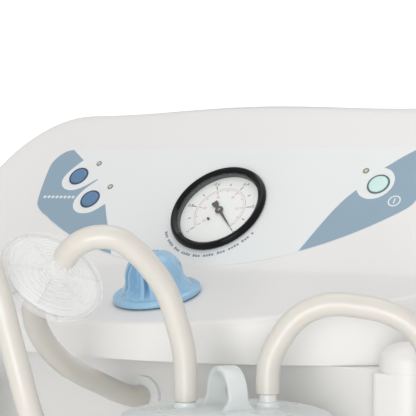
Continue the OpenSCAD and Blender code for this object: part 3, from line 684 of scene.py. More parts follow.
def console_form():
    """The console's rounded surface: sections from end to end, with flat sides."""
    half = [(x, CONSOLE_TOP - float(crown(x))) for x in np.linspace(0, CONSOLE_HALF - CORNER_R, 17)[:-1]]
    for k in range(17):
        turn = math.pi / 2 * k / 16
        x = CONSOLE_HALF - CORNER_R + CORNER_R * math.sin(turn)
        half.append((x, CONSOLE_TOP - CORNER_R + CORNER_R * math.cos(turn) - float(crown(x))))
    rows = [console_profile(x, top) for x, top in half]
    edge = rows[-1]
    for w in (0.03, 0.07, 0.12, 0.2, 0.35, 0.55, 0.8, 1.0):
        rows.append([(x, y + (60 - y) * w, z + (CONSOLE_LOW - z) * w) for x, y, z in edge])
    rows = [[(-x, y, z) for x, y, z in row] for row in rows[:0:-1]] + rows
    points, faces = grid(rows)
    p = np.array(points)
    low = p[:, 2] < CONSOLE_LOW + 0.01
    for _ in range(8):
        away = console_distance(p)
        slope = np.stack([(console_distance(p + step) - console_distance(p - step)) / 0.02
                          for step in 0.01 * np.eye(3)], axis=1)
        slope[low, 2] = 0
        p -= slope * (away / np.maximum((slope ** 2).sum(axis=1), 0.2))[:, None]
    return [tuple(c) for c in p], faces


def pin_shape(r, half):
    """A round cutter, as long on both sides of its origin."""
    return lathe([(0, -half), (r, -half), (r, half), (0, half)], 48)


def console_shells():
    """The console's front and rear shells, with the holes in them."""
    form = console_form()
    shells = []
    for side, depth in (("front", SPLIT_Y - SEAM), ("rear", SPLIT_Y + SEAM)):
        made = piece("console_%s_shell" % side, [(form, SHELL)], sharp=50)
        cut_at(made, depth, side == "front")
        shells.append(walled(made))
    holes = [placed(moved(pin_shape(GAUGE_HOLE_R, 20), *GAUGE_AT), PANEL)]
    holes += [placed(moved(pin_shape(BUTTON_R + 0.5, 20), *at), PANEL) for at in BUTTONS]
    holes += [placed(moved(pin_shape(LAMP_R + 0.3, 20), *at), PANEL) for at in LAMPS]
    holes.append(placed(pin_shape(7, 20), LEDGE))
    sockets = join(placed(pin_shape(13.6, 10), shift(60, BACK_Y, 720) @ spin("X", 90)),
                   slab(rectangle(-84, BACK_Y - 12, -56, BACK_Y + 12), 706, 726, 0.01, 1))
    for made, cutter in ((shells[0], join(*holes)), (shells[1], sockets)):
        tool = piece("cutter", [(cutter, SHELL)])
        cut = made.modifiers.new("holes", "BOOLEAN")
        cut.object = tool
        cut.solver = "EXACT"
        apply_changes(made)
        bpy.data.objects.remove(tool)
        made.data.set_sharp_from_angle(angle=math.radians(50))
    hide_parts("console_cover")
    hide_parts("console_back")


console_shells()

# ---------------------------------------------------------------- panel label
LABEL_R = 258
LABEL_LOW = -47.3
LABEL_X = -15
LABEL_TOP = 0.42
FILM_T = 0.4
PRINT_TOP = 0.47
PRINT_T = 0.1
WHITE_RING = (112.6, 28.6, 13.9)
SWITCH_MARK = (131.6, 13.2)


def label_edge(x):
    """Height of the label's curved lower edge at x."""
    return LABEL_LOW + LABEL_R - math.sqrt(LABEL_R ** 2 - (x - LABEL_X) ** 2)


def lower_edge(x0, x1, steps, raise_by=0.0):
    xs = [x0 + (x1 - x0) * k / steps for k in range(steps + 1)]
    return [(x, label_edge(x) + raise_by) for x in xs]


def label_holes():
    """The film's openings for the gauge, the buttons and the lamps."""
    rings = [(GAUGE_AT, circle(37, 96))]
    rings += [(at, circle(BUTTON_R + 1.3, 40)) for at in BUTTONS]
    rings += [(at, circle(LAMP_R + 0.2, 24)) for at in LAMPS]
    return [[(at[0] + x, at[1] + y) for x, y in ring] for at, ring in rings]


def panel_label():
    right = smooth_line([(136, label_edge(136)), (144.5, 8.5), (148.2, 16), (149.4, 27), (150, 40),
                         (148, 51),
                         (141, 58.5), (131, 61.2)], 5)
    left = smooth_line([(-162.7, 61.2), (-168.5, 59.7), (-173, 56.3), (-176.8, 50.4), (-177.9, 43.7),
                        (-176.3, 29.1), (-173.9, 15.6), (-171, 6.1), (-163.5, -0.9),
                        (-157, label_edge(-157))], 5)
    outline = lower_edge(-157, 136, 60)[:-1] + right + left[:-1]
    film = flat_shape([outline] + label_holes(), FILM_T)
    piece("panel_film", [(placed(moved(film, z=LABEL_TOP), PANEL), LABEL)],
          nodes=["panel_label"],
          sharp=20)

    inner = smooth_line([(-147.7, 50.4), (-152.4, 44.6), (-157.4, 36.6), (-158.4, 29.4), (-154.4, 23.2),
                         (-147.6, 20.5), (-140.4, 21.2), (-133.1, 25.2), (-125.9, 31.1), (-125.0, 30.2),
                         (-130.2, 24.6), (-134.3, 18.6), (-136.9, 11.3), (-135.6, 4.7), (-130.9, 0.0),
                         (-124.3, -1.9), (-115.3, -0.2), (-106.4, 7.5)], 5)
    blue_left = inner + smooth_line([(-100.5, -3), (-94.1, -13.4), (-86, -26),
                                     (-79, label_edge(-79) + 0.3)], 4)
    blue_left += lower_edge(-80, -157, 20, 0.3) + [(x + 0.25, y) for x, y in left[::-1][1:]]
    rim = smooth_line([(74, label_edge(74) + 0.3), (79, -18), (82.8, -8.4), (87.9, 3.5), (93.8, 14.4),
                       (100.0, 22.6)], 5)
    x, y, r = WHITE_RING
    rim += arc(x, y, r, 207, 441, 30)
    rim += smooth_line([(118.5, 45.4), (125, 51.4), (132.5, 57.2), (136.5, 60.0)], 4)
    blue_right = rim + [(px - 0.3, py) for px, py in right[::-1] if px > 137] + lower_edge(136, 75, 24, 0.3)
    blues = join(flat_shape([blue_left], PRINT_T), flat_shape([blue_right], PRINT_T))
    printed("panel_blue_print", blues, PRINT_TOP, LABEL_BLUE, 20)


def printed(name, marks, height, ink, sharp=35):
    """A print on the panel's film."""
    piece(name, [(placed(moved(marks, z=height), PANEL), ink)], sharp=sharp)


def panel_marks():
    """The switch's symbol, a row of marks beside the foot buttons, and the marks round the gauge."""
    marks = [moved(flat_shape([circle(4.7, 40), circle(3.7, 40)], PRINT_T), *SWITCH_MARK),
             moved(flat_shape([rectangle(-0.5, -2.3, 0.5, 2.3, 0.4, 3)], PRINT_T), *SWITCH_MARK)]
    for k in range(8):
        marks.append(moved(flat_shape([rectangle(-1.3, -1.2, 1.3, 1.2, 0.4, 2)], PRINT_T), -167 + 3.9 * k,
                           13.6))
    printed("panel_white_print", join(*marks), PRINT_TOP + 0.04, PRINT_WHITE)
    dashes = []
    for k in range(41):
        if k % 9 in (3, 8):
            continue
        dash = flat_shape([rectangle(-0.8, -1.0, 0.8, 0.75 + 0.4 * (k % 3 == 0), 0.25, 2)], PRINT_T)
        dashes.append(placed(dash, shift(*GAUGE_AT) @ spin("Z", -148 + 2.95 * k) @ shift(41.9) @ spin("Z",
                                                                                                      90)))
    printed("panel_ink_marks", join(*dashes), PRINT_TOP, PRINT_INK)


panel_label()
panel_marks()


# ---------------------------------------------------------------- buttons and lamps
def push_button(node, at, finish, ring):
    """A domed cap in a rubber ring, with the plunger behind it."""
    cap = fillet([(0, -6), (BUTTON_R, -6), (BUTTON_R, 0.95), (BUTTON_R - 1.2, 1.4), (0, 1.75)], 0.5, 4)
    stem = fillet([(0, -18), (2, -18), (2, -5.8), (0, -5.8)], 0.3, 2)
    parts = [(placed(moved(lathe(outline, 64), at[0], at[1]), PANEL), finish) for outline in (cap, stem)]
    piece(node + "_cap", parts, body=node, nodes=[node], sharp=30)
    bead = fillet([(BUTTON_R + 0.15, -1), (BUTTON_R + 1.2, -1), (BUTTON_R + 1.2, 0.7),
                   (BUTTON_R + 0.9, 1.15),
                   (BUTTON_R + 0.4, 1.1), (BUTTON_R + 0.15, 0.6)], 0.2, 3)
    piece(node + "_ring", [(placed(moved(lathe(bead, 64), at[0], at[1]), PANEL), ring)])


push_button("power_button", ON_OFF, MINT_CAP, TEAL)
push_button("foot_button_upper", FOOT_UPPER, BLUE_CAP, NAVY)
push_button("foot_button_lower", FOOT_LOWER, BLUE_CAP, NAVY)


def lamps():
    """Domed lenses in their rings."""
    dome = [(1.45 * cosd(a), 0.5 + 0.8 * sind(a)) for a in range(0, 90, 12)]
    lens = [(0, -6), (1.45, -6)] + dome + [(0, 1.3)]
    bead = fillet([(1.5, -3), (LAMP_R + 0.15, -3), (LAMP_R + 0.15, 0.5), (LAMP_R, 0.85), (1.7, 0.85),
                   (1.5, 0.6)],
                  0.12, 2)
    parts = []
    for x, y in LAMPS:
        parts.append((placed(moved(lathe(lens, 32), x, y), PANEL), LAMP))
        parts.append((placed(moved(lathe(bead, 40), x, y), PANEL), LAMP_RING))
    piece("lamp_lenses", parts, nodes=["status_leds"], sharp=40)


lamps()

# ---------------------------------------------------------------- gauge
GAUGE_SINK = 4.5
GAUGE = PANEL @ shift(*GAUGE_AT, -GAUGE_SINK)
DIAL_Z = 3.2
DIAL_R = 31.2
DIAL_INK_T = 0.06
GLASS_Z = 6.3
BEZEL_R = 37.5
BEZEL_H = 5
ZERO_TURN = -45
SCALE_TURN = 270


def gauge_housing():
    """The gauge's black ring, its pane and the drum behind them."""
    top = GAUGE_SINK + BEZEL_H
    bezel = fillet([(31.5, GLASS_Z + 1.25, 0.1), (32.4, GLASS_Z + 1.25, 0.1), (32.4, GAUGE_SINK + 0.5, 0.1),
                    (BEZEL_R - 0.8, GAUGE_SINK + 0.5, 0.2), (BEZEL_R, top - 3.2, 1.6),
                    (BEZEL_R - 1.4, top - 0.6, 1.6),
                    (BEZEL_R - 2.8, top, 1.2), (33.6, top - 0.5, 0.8), (32.0, top - 1.6, 0.3)], 0.3, 5)
    piece("gauge_ring", [(placed(lathe(bezel, 144), GAUGE), BEZEL)],
          nodes=["gauge_bezel"],
          sharp=60)
    wall = fillet([(31.25, 3.3), (32.3, 3.3), (32.3, GLASS_Z), (31.7, GLASS_Z), (31.25, 5.2)], 0.15, 2)
    piece("gauge_inner_ring", [(placed(lathe(wall, 120), GAUGE), BLACK)])
    pane = fillet([(0, GLASS_Z + 0.1), (32.2, GLASS_Z + 0.1), (32.2, GLASS_Z + 1.2), (20, GLASS_Z + 1.22),
                   (0, GLASS_Z + 1.3)], 0.1, 2)
    piece("gauge_pane", [(placed(lathe(pane, 96), GAUGE), GLASS)], nodes=["gauge_glass"])
    drum = fillet([(0, -32), (32.2, -32, 1), (32.2, GLASS_Z - 0.1), (31.4, GLASS_Z - 0.1), (31.4, -29),
                   (0, -29)],
                  0.2, 3)
    stem = fillet([(0, -44), (5, -44), (5, -31.5), (0, -31.5)], 0.4, 3)
    post = fillet([(1.2, -29.5), (4, -29.5), (4, -7), (1.2, -7)], 0.2, 2)
    piece("gauge_drum", [(placed(join(lathe(drum, 120), lathe(stem, 40), lathe(post, 32)), GAUGE), BLACK)],
          nodes=["gauge_case"])


def dial_tick(r0, r1, half, turn):
    return placed(flat_shape([rectangle(r0, -half, r1, half)], DIAL_INK_T), turn)


def dial_arc(r0, r1):
    """A thin line round the scale."""
    end = ZERO_TURN + SCALE_TURN
    return flat_shape([arc(0, 0, r1, ZERO_TURN, end, 90) + arc(0, 0, r0, end, ZERO_TURN, 90)], DIAL_INK_T)


def dial_number(words, size, r, turn):
    at = turn @ Vector((r, 0, 0))
    return moved(text_shape(words, size), at.x, at.y)


def gauge_dial():
    """The dial, with a black scale outside and a red one inside, and the needle's stop."""
    black = []
    red = []
    for k in range(11):
        turn = spin("Z", ZERO_TURN + SCALE_TURN * k / 10)
        long = k % 2 == 0
        black.append(dial_tick(21.4 if long else 22.6, 24.9, 0.3, turn))
        red.append(dial_tick(16.2 if long else 17.2, 18.8, 0.26, turn))
        if long:
            tenths = "0" if k == 0 else "-1" if k == 10 else "-0.%d" % k
            black.append(dial_number(tenths, 3.6, 27.1, turn))
            red.append(dial_number("%d" % (7.5 * k), 3.0, 13.6, turn))
    black.append(dial_arc(20.12, 20.3))
    red.append(dial_arc(18.7, 18.9))
    face = lathe(fillet([(2, DIAL_Z - 1), (DIAL_R, DIAL_Z - 1), (DIAL_R, DIAL_Z), (2, DIAL_Z)], 0.15, 2),
                 96)
    stop = moved(lathe(fillet([(0, 0), (0.9, 0), (0.9, 1.6), (0, 1.9)], 0.2, 2), 20), -6, -8, DIAL_Z)
    piece("gauge_scale", [(placed(face, GAUGE), DIAL),
                          (placed(moved(join(*black), z=DIAL_Z + 0.05), GAUGE), PRINT_BLACK),
                          (placed(moved(join(*red), z=DIAL_Z + 0.05), GAUGE), PRINT_RED),
                          (placed(stop, GAUGE), NEEDLE)], nodes=["gauge_dial"], sharp=20)


def needle():
    """The blade with its counterweight, on a hub and a brass pin."""
    low = DIAL_Z + 0.6
    blade = flat_shape([[(-4.4, -0.9), (0, -1.25), (21.5, -0.16), (21.5, 0.16), (0, 1.25), (-4.4, 0.9)]],
                       0.45)
    weight = flat_shape([fillet([(-4, -1.2), (-4, 1.2), (-6, 2.3), (-9.8, 2.5), (-9.8, -2.5), (-6, -2.3)],
                                0.6, 3)],
                        0.45)
    hub = lathe(fillet([(0, low), (3.1, low), (3.1, low + 0.9), (2.4, low + 1.05), (0, low + 1.05)], 0.2,
                       3), 40)
    pin = lathe(fillet([(0, -13), (1, -13), (1, low + 1.1), (0.6, low + 1.2), (0, low + 1.2)], 0.1, 2), 24)
    turn = GAUGE @ spin("Z", ZERO_TURN)
    arrow = moved(join(blade, weight), z=low + 0.6)
    parts = [(placed(part, turn), finish) for part, finish in ((arrow, NEEDLE), (hub, NEEDLE),
                                                               (pin, BRASS))]
    piece("gauge_pointer", parts, body="gauge_needle", nodes=["gauge_needle"], sharp=30)


gauge_housing()
gauge_dial()
needle()

# ---------------------------------------------------------------- regulator knob
KNOB_R = 29.5
KNOB_H = 29
KNOB_LIFT = 0.8
FLUTES = [(57, 5), (83, 14), (109, 5), (237, 5), (263, 14), (289, 5)]
FLUTE_DEPTH = 6.2


def knob():
    """A flange and a bell with finger flutes on two sides."""
    flange = fillet([(0, KNOB_LIFT), (KNOB_R - 1, KNOB_LIFT, 0.6), (KNOB_R, KNOB_LIFT + 0.8, 0.6),
                     (KNOB_R, KNOB_LIFT + 3.2, 1.2), (KNOB_R - 2, KNOB_LIFT + 4.2, 1.0),
                     (10, KNOB_LIFT + 5.4, 0.5), (0, KNOB_LIFT + 5.4)], 0.4, 5)
    bell = [(24.8, 3.6), (24.0, 4.6), (23.2, 5.8), (21.3, 8.4), (20.2, 11)]
    bell += [(6.4 + 13.2 * cosd(a), 13 + (KNOB_H - 13) * sind(a))
             for a in range(0, 91, 6)]
    bell += [(3, KNOB_H + 0.1), (0, KNOB_H + 0.1)]
    rows = []
    for r, z in bell:
        row = []
        for turn in range(360):
            away = min(abs((turn - middle + 180) % 360 - 180) / half for middle, half in FLUTES)
            cut = max(0, 1 - away ** 8) * FLUTE_DEPTH
            rise = min(1, max(0, (z - 4.6) / 3))
            reach = r - cut * rise * rise * (3 - 2 * rise) * min(1, r / 20)
            row.append((reach * cosd(turn), reach * sind(turn), KNOB_LIFT + z))
        rows.append(row)
    body = grid(rows, around=True)
    spindle = lathe(fillet([(0, -24), (4, -24), (4, 3), (0, 3)], 0.3, 2), 32)
    parts = [(placed(part, LEDGE), finish)
             for part, finish in ((lathe(flange, 120), KNOB), (body, KNOB), (spindle, BRASS))]
    piece("vacuum_knob", parts, body="regulator_knob", nodes=["regulator_knob"], sharp=48)


knob()

# ---------------------------------------------------------------- jars and lids
JAR_X = 128
JAR_Y = -121
LID_TOP = 664
JAR_LOW = 438
RIM_TOP = 653.5
JAR_R = 58.5
LID_R = 63
PORT_OUT = 24
PORT_TURN = 33
STRAP_TURN = -33
STRAP_R = 15.3
FLOAT_LIFT = 14
FLOAT_H = 24
FLOAT_Z = LID_TOP - 12 - FLOAT_LIFT - FLOAT_H
FLOAT_AT = spin("Z", PORT_TURN + 180) @ shift(PORT_OUT)
LITRE_RISE = 90
SCALE_AT = 0.6 - math.pi / 2


def jar(name, x):
    """A clear jar with a rolled rim and a domed foot, and its printed scale."""
    outline = fillet([(0, JAR_LOW + 2.2), (34, JAR_LOW + 1.6, 3), (40, JAR_LOW, 1.5), (49, JAR_LOW, 1.5),
                      (JAR_R, JAR_LOW + 1, 7), (JAR_R, RIM_TOP - 8, 2), (JAR_R + 1, RIM_TOP - 6, 1),
                      (JAR_R + 1, RIM_TOP, 0.8), (JAR_R - 2.5, RIM_TOP, 0.8), (JAR_R - 2.5, JAR_LOW + 4, 6),
                      (40, JAR_LOW + 3, 2), (0, JAR_LOW + 5)], 0.5, 5)
    scale_turn = SCALE_AT if x > 0 else -math.pi - SCALE_AT
    ticks = []
    for k in range(1, 19):
        height = JAR_LOW + 6 + k * LITRE_RISE / 10
        half = 6.5 if k % 5 == 0 else 3.5
        ticks.append(wrapped(rectangle(-half, -0.3, half, 0.3), scale_turn, height))
        if k % 5 == 0:
            ticks.append(wrapped(moved(text_shape("%.1f" % (k / 10), 7), 12), scale_turn, height))
    at = shift(x, JAR_Y)
    piece(name, [(placed(lathe(outline, 120), at), JAR)], nodes=[name], sharp=50)
    piece(name + "_scale", [(placed(join(*ticks), at), PRINT_INK)], turn_out=False)


def wrapped(part, turn, height):
    """A flat shape laid on the jar's wall, its middle at a turn and a height."""
    if isinstance(part[0], tuple):
        part = [(x, y, 0) for x, y in part], [tuple(range(len(part)))]
    points = []
    for u, v, _ in part[0]:
        a = turn + u / JAR_R
        points.append(((JAR_R + 0.08) * math.cos(a), (JAR_R + 0.08) * math.sin(a), height + v))
    return points, part[1]


def lid(name, x):
    """A gripped cap with two ports, a strap handle and the float's cage under it."""
    top = fillet([(0, LID_TOP), (32, LID_TOP, 8), (54, LID_TOP - 2.4, 6), (LID_R - 0.6, LID_TOP - 5, 3),
                  (LID_R - 0.3, LID_TOP - 18, 0.6), (JAR_R + 1.4, LID_TOP - 18, 0.3),
                  (JAR_R + 1.4, LID_TOP - 8, 0.5),
                  (0, LID_TOP - 8)], 0.5, 5)
    parts = [lathe(top, 360, lambda turn: 1 + 0.0055 * max(-0.2, math.sin(60 * turn)))]
    port = fillet([(2.8, -18), (4.4, -18), (4.4, 0.2), (7.4, 0.2), (7.4, 1.4), (6.5, 1.7), (6.5, 3.7),
                   (5.2, 4.1),
                   (5.0, 8.2), (4.2, 8.6), (4.2, 20.5), (3.6, 22), (2.8, 22)], 0.3, 3)
    for side in (0, 180):
        parts.append(placed(lathe(port, 48), spin("Z", PORT_TURN + side) @ shift(PORT_OUT, 0, LID_TOP - 1)))
    rib = slab(rectangle(14.5, -1.5, 17.5, 1.5, 0.5, 2), FLOAT_Z - 6, LID_TOP - 7, 0.4, 2)
    for k in range(4):
        parts.append(placed(rib, FLOAT_AT @ spin("Z", 90 * k + 45)))
    hoop = fillet([(10, FLOAT_Z - 8), (19, FLOAT_Z - 8), (19, FLOAT_Z - 5), (10, FLOAT_Z - 5)], 0.5, 2)
    parts.append(placed(lathe(hoop, 48), FLOAT_AT))
    line = [(STRAP_R, 0, LID_TOP + rise) for rise in (-2.5, 0, 2, 4, 6)]
    line += [(STRAP_R * cosd(a), 0, LID_TOP + 7 + STRAP_R * sind(a)) for a in range(0, 181, 9)]
    line += [(-p[0], 0, p[2]) for p in line[4::-1]]
    flare = [(2.0, 2.2), (1.7, 1.7), (1.35, 1.3), (1.12, 1.08), (1, 1)]
    sizes = flare + [(1, 1)] * 21 + flare[::-1]
    strap = sweep(line, fillet([(-6, -1.65), (6, -1.65), (6, 1.65), (-6, 1.65)], 0.9, 3), sizes,
                  Vector((0, 1, 0)))
    parts.append(placed(strap, spin("Z", STRAP_TURN)))
    at = shift(x, JAR_Y)
    finishes = [LID, PORT, PORT] + [LID] * (len(parts) - 3)
    piece(name, [(placed(part, at), finish) for part, finish in zip(parts, finishes)],
          nodes=[name],
          sharp=40)


def float_body(name, x):
    """A hollow plug that the fluid lifts against the pump's port."""
    shape = fillet([(0, FLOAT_Z - 4.5), (13, FLOAT_Z - 4.5, 2), (13, FLOAT_Z + FLOAT_H - 8, 3),
                    (6, FLOAT_Z + FLOAT_H - 4.6, 1), (0, FLOAT_Z + FLOAT_H - 4.5)], 0.6, 4)
    piece(name + "_ball", [(placed(lathe(shape, 48), shift(x, JAR_Y) @ FLOAT_AT), ORANGE)], body=name,
          nodes=[name])


for side, x in (("left", -JAR_X), ("right", JAR_X)):
    jar("jar_" + side, x)
    lid("lid_" + side, x)
    float_body("float_" + side, x)

# ---------------------------------------------------------------- column and base
COLUMN_TOP = 681.7
BAY_Z = 470
DECK_Z = 150
CHASSIS_Z = 91
BASE_X = 220
BASE_Y = 205
COLUMN_MID_Y = 60
POST_AT = (207.5, -44.5)
POST_R = 17.5


def column():
    """The lower column and the wider bay on it: walls in rings from the deck up, closed at the top."""
    lower = fillet([(-150, -44, 30), (-110, -44, 0), (-100, -44, 0), (100, -44, 0), (110, -44, 0),
                    (150, -44, 30),
                    (150, 150, 30), (-150, 150, 30)], 0, 8)
    bay = fillet([(-225, -62, 18), (-190, -62, 6), (-190, -44, 6), (190, -44, 6), (190, -62, 6),
                  (225, -62, 18),
                  (225, 150, 18), (-225, 150, 18)], 0, 8)
    levels = ((lower, DECK_Z + 0.4), (lower, BAY_Z - 4), (lower, BAY_Z), (bay, BAY_Z), (bay, BAY_Z + 4),
              (bay, COLUMN_TOP))
    rows = [[(x, y, z) for x, y in outline] for outline, z in levels]
    points, faces = grid(rows, around=True)
    faces.append(tuple(len(points) - len(bay) + k for k in range(len(bay))))
    for node, front in (("column_front", True), ("column_rear", False)):
        made = piece(node + "_shell", [((points, faces), SHELL)], nodes=[node],
                     sharp=30)
        cut_at(made, COLUMN_MID_Y + (-SEAM if front else SEAM), front)
        bevelled(walled(made), 1.6, 3, 50)


def post_caps():
    """The domed tops of the bay's two front posts, beside the console."""
    dome = [(0, COLUMN_TOP - 1), (POST_R - 0.2, COLUMN_TOP - 1), (POST_R - 0.2, COLUMN_TOP + 7)]
    dome += [(POST_R * cosd(a) - 0.2, COLUMN_TOP + 7 + 11 * sind(a)) for a in range(8, 90, 8)]
    dome.append((0, COLUMN_TOP + 18))
    for side, sign in (("left", -1), ("right", 1)):
        piece("post_cap_" + side, [(moved(lathe(dome, 72), sign * POST_AT[0], POST_AT[1]), SHELL)])


def base_deck():
    """The moulded deck over the chassis, with the opening under the column."""
    def ring(inset, r):
        return rectangle(inset - BASE_X, inset - BASE_Y, BASE_X - inset, BASE_Y - inset, r, 10)
    low = CHASSIS_Z + 4
    rows = [(ring(1.2, 45), low), (ring(0.3, 46), low + 1.2), (ring(0, 46), low + 4)]
    for a in range(0, 91, 10):
        inset = 16 * (1 - cosd(a))
        rows.append((ring(inset, 46 - inset), DECK_Z - 16 + 16 * sind(a)))
    rows.append((rectangle(-138, -32, 138, 138, 20, 10), DECK_Z))
    rows.append((rectangle(-137, -31, 137, 137, 19, 10), DECK_Z - 6))
    points, faces = grid([[(x, y, z) for x, y in outline] for outline, z in rows], around=True)
    walled(piece("base_deck", [((points, faces), SHELL_GREY)], nodes=["base_cover"],
                 sharp=50))


column()
post_caps()
base_deck()

# ---------------------------------------------------------------- push handle
HANDLE_Z = 790
HANDLE_Y = 192


def push_handle():
    """A round bar with soft grips, on two stand-offs with screwed flanges."""
    bar = lathe(fillet([(0, -170), (11, -170), (11, 170), (0, 170)], 3, 6), 48)
    lying = shift(0, HANDLE_Y, HANDLE_Z) @ spin("Y", 90)
    parts = [(placed(bar, lying), BAR)]
    for sign in (-1, 1):
        out = shift(sign * 150, BACK_Y, HANDLE_Z) @ spin("X", -90)
        stand = fillet([(0, 0.1), (14, 0.1), (14, 4.6, 1.2), (10.5, 5.2, 1.5), (9, 9, 2), (9, 24, 1),
                        (0, 24)], 0.3, 4)
        parts.append((placed(lathe(stand, 56), out), BLACK))
        grip = [(11, 0), (11.9, 0.6)]
        for k in range(12):
            grip += [(11.9, 2 + 6 * k), (12, 2.6 + 6 * k), (12, 5.4 + 6 * k), (11.7, 6 + 6 * k)]
        grip += [(11.9, 76), (11, 77)]
        grip.append((10.6, 40))
        parts.append((placed(lathe(grip, 56), lying @ shift(z=30 if sign > 0 else -107)), RUBBER))
    piece("rear_push_bar", parts, nodes=["push_handle"], sharp=40)


push_handle()

# ---------------------------------------------------------------- castors
WHEEL_R = 37.5
WHEEL_W = 24
CASTORS = [(-175, -150), (175, -150), (-175, 138), (175, 138)]
TRAIL = 26


def wheel(x, y):
    """A soft tyre with a round tread, a spoked hub and a capped bearing."""
    half = WHEEL_W / 2
    tyre = fillet([(27.5, 1 - half), (WHEEL_R - 3.5, 1 - half, 2), (WHEEL_R, 5.5 - half, 4),
                   (WHEEL_R, half - 5.5, 4),
                   (WHEEL_R - 3.5, half - 1, 2), (27.5, half - 1)], 0.5, 5)
    hub = fillet([(8, 6 - half), (24, 6 - half, 2), (25.5, 2 - half, 0.8), (27.6, 1.2 - half),
                  (27.6, half - 1.2),
                  (25.5, half - 2, 0.8), (24, half - 6, 2), (8, half - 6)], 0.4, 3)
    boss = fillet([(4.1, 0.3 - half), (8, 0.3 - half, 0.6), (9.5, 3 - half, 1), (9.5, half - 3, 1),
                   (8, half - 0.3, 0.6),
                   (4.1, half - 0.3)], 0.2, 3)
    parts = [(lathe(tyre, 96), TYRE), (lathe(hub, 72), HUB), (lathe(boss, 48), HUB)]
    spoke = slab(rectangle(8.5, -2.2, 25.5, 2.2, 1.2, 3), -1.8, 1.8, 0.6, 2)
    for k in range(5):
        for sign in (-1, 1):
            parts.append((placed(moved(spoke, z=sign * (half - 4.6)), spin("Z", 72 * k)), HUB))
    at = shift(x, y + TRAIL, WHEEL_R) @ spin("Y", 90)
    return [(placed(part, at), finish) for part, finish in parts]


for i, (x, y) in enumerate(CASTORS, 1):
    piece("wheel_%d_tyre" % i, wheel(x, y), body="wheel_%d" % i, nodes=["castor_wheel_%d" % i],
          sharp=45)
    dress("castor_fork_%d" % i, STEEL, 0.6)
for i in (1, 2):
    dress("brake_pedal_%d" % i, PEDAL, 0.8)

# ---------------------------------------------------------------- fastenings
def screw_heads():
    """Pan heads with a round recess, where the CAD screws are."""
    head = fillet([(0, 1.0), (1.6, 1.0), (1.6, 2.6, 0.2), (3.2, 2.2, 0.9), (4, 0.8, 0.5), (4, 0, 0.1),
                   (0, 0)], 0.1, 3)
    parts = []
    places = []
    for x in (-160, -60, 60, 160):
        places.append(shift(x, -50, 586) @ spin("X", 90))
    for x in (-100, 100):
        for z in (500, 660):
            places.append(shift(x, 150, z) @ spin("X", -90))
    for x in (-120, 120):
        for z in (715, 825):
            places.append(shift(x, BACK_Y, z) @ spin("X", -90))
    for place in places:
        parts.append((placed(lathe(head, 36), place), STEEL))
    for sign in (-1, 1):
        for x in (JAR_X - 12, JAR_X + 12):
            stud = fillet([(0, 568), (2, 568, 0.4), (2, 574), (0, 574)], 0.1, 3)
            parts.append((moved(lathe(stud, 24), sign * x, -50), STEEL))
    piece("screw_heads", parts, nodes=["screws"], sharp=30)


def socket_pins():
    """The mains inlet's three blades and the foot-switch socket's contacts."""
    blade = slab(rectangle(-1.1, -2.6, 1.1, 2.6, 0.6, 3), 0, 9, 0.5, 2)
    blades = [moved(blade, x, y) for x, y in ((-6.5, -1.5), (0, 2.2), (6.5, -1.5))]
    inlet = shift(-70, BACK_Y - 15, 716) @ spin("X", -90)
    pin = lathe(fillet([(0, 0), (0.9, 0), (0.9, 6), (0, 6.6)], 0.2, 2), 16)
    pins = [moved(pin, 4.6 * cosd(72 * k), 4.6 * sind(72 * k)) for k in range(5)]
    plug = shift(60, BACK_Y - 15, 720) @ spin("X", -90)
    piece("socket_contacts", [(placed(join(*blades), inlet), STEEL), (placed(join(*pins), plug), BRASS)],
          sharp=30)


screw_heads()
socket_pins()

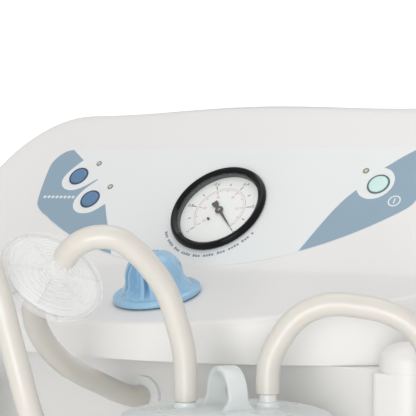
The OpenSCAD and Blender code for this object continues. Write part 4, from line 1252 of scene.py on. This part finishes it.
# ---------------------------------------------------------------- CAD pieces that stay
for name, finish, edge in (
        ("base_chassis", CHASSIS, 0.6), ("console_floor", SHELL_GREY, 0.5),
        ("regulator_valve", BRASS, 0.4), ("control_board", BOARD, 0.0), ("lid_seals", SEAL, 0.5),
        ("jar_holders", HOLDER, 0.8), ("holder_bar", STEEL, 1.2), ("tube_rest", HOLDER, 0.6),
        ("inlet_port", PORT, 0.4), ("mains_inlet", BLACK, 0.5), ("foot_switch_socket", BLACK, 0.5),
        ("motor_housing", MOTOR, 0.8), ("motor_rotor", STEEL, 0.3), ("pump_housings", CAST, 0.8),
        ("piston_left", CAST, 0.4), ("piston_right", CAST, 0.4), ("cylinder_heads", CAST, 1.0),
        ("vibration_mounts", RUBBER, 1.0)):
    dress(name, finish, edge)

# ---------------------------------------------------------------- floor, light and background
FLOOR_HALF = 4
floor_data = bpy.data.meshes.new("floor")
floor_data.from_pydata([(-FLOOR_HALF, -FLOOR_HALF, 0), (FLOOR_HALF, -FLOOR_HALF, 0),
                        (FLOOR_HALF, FLOOR_HALF, 0),
                        (-FLOOR_HALF, FLOOR_HALF, 0)], [], [(0, 1, 2, 3)])
floor = bpy.data.objects.new("floor", floor_data)
floor_data.materials.append(surface("floor_white", (0.92, 0.92, 0.92), 0.6, drift=(0.004, 400),
                                    grain=(0.02, 3)))
scene.collection.objects.link(floor)

world = bpy.data.worlds.new("studio")
scene.world = world
world.use_nodes = True
sky = world.node_tree
SKY_LIGHT = 0.60
SKY_SEEN = 1.15
lit = sky.nodes["Background"]
lit.inputs["Color"].default_value = (1, 1, 1, 1)
lit.inputs["Strength"].default_value = SKY_LIGHT
seen = add(sky, "ShaderNodeBackground", {"Color": (1, 1, 1, 1), "Strength": SKY_SEEN})
straight = add(sky, "ShaderNodeLightPath")
either = add(sky, "ShaderNodeMixShader")
sky.links.new(straight.outputs["Is Camera Ray"], either.inputs[0])
sky.links.new(lit.outputs["Background"], either.inputs[1])
sky.links.new(seen.outputs["Background"], either.inputs[2])
sky.links.new(either.outputs["Shader"], sky.nodes["World Output"].inputs["Surface"])


def soft_light(name, place, aim, size, power):
    data = bpy.data.lights.new(name, "AREA")
    data.size = size
    data.energy = power
    made = bpy.data.objects.new(name, data)
    scene.collection.objects.link(made)
    made.location = place
    made.rotation_euler = (Vector(aim) - Vector(place)).to_track_quat("-Z", "Y").to_euler()


soft_light("key_light", (-1.2, -1.6, 2.4), (0, 0, 0.7), 1.6, 3)
soft_light("fill_light", (0.9, -2.0, 0.64), (0, 0, 0.7), 1.2, 21)
soft_light("top_light", (0.1, 0.2, 2.6), (0, 0, 0.7), 1.4, 9)
soft_light("back_light", (0.6, 2.2, 2.0), (0, 0, 0.6), 1.6, 5)
scene.view_settings.view_transform = "Standard"
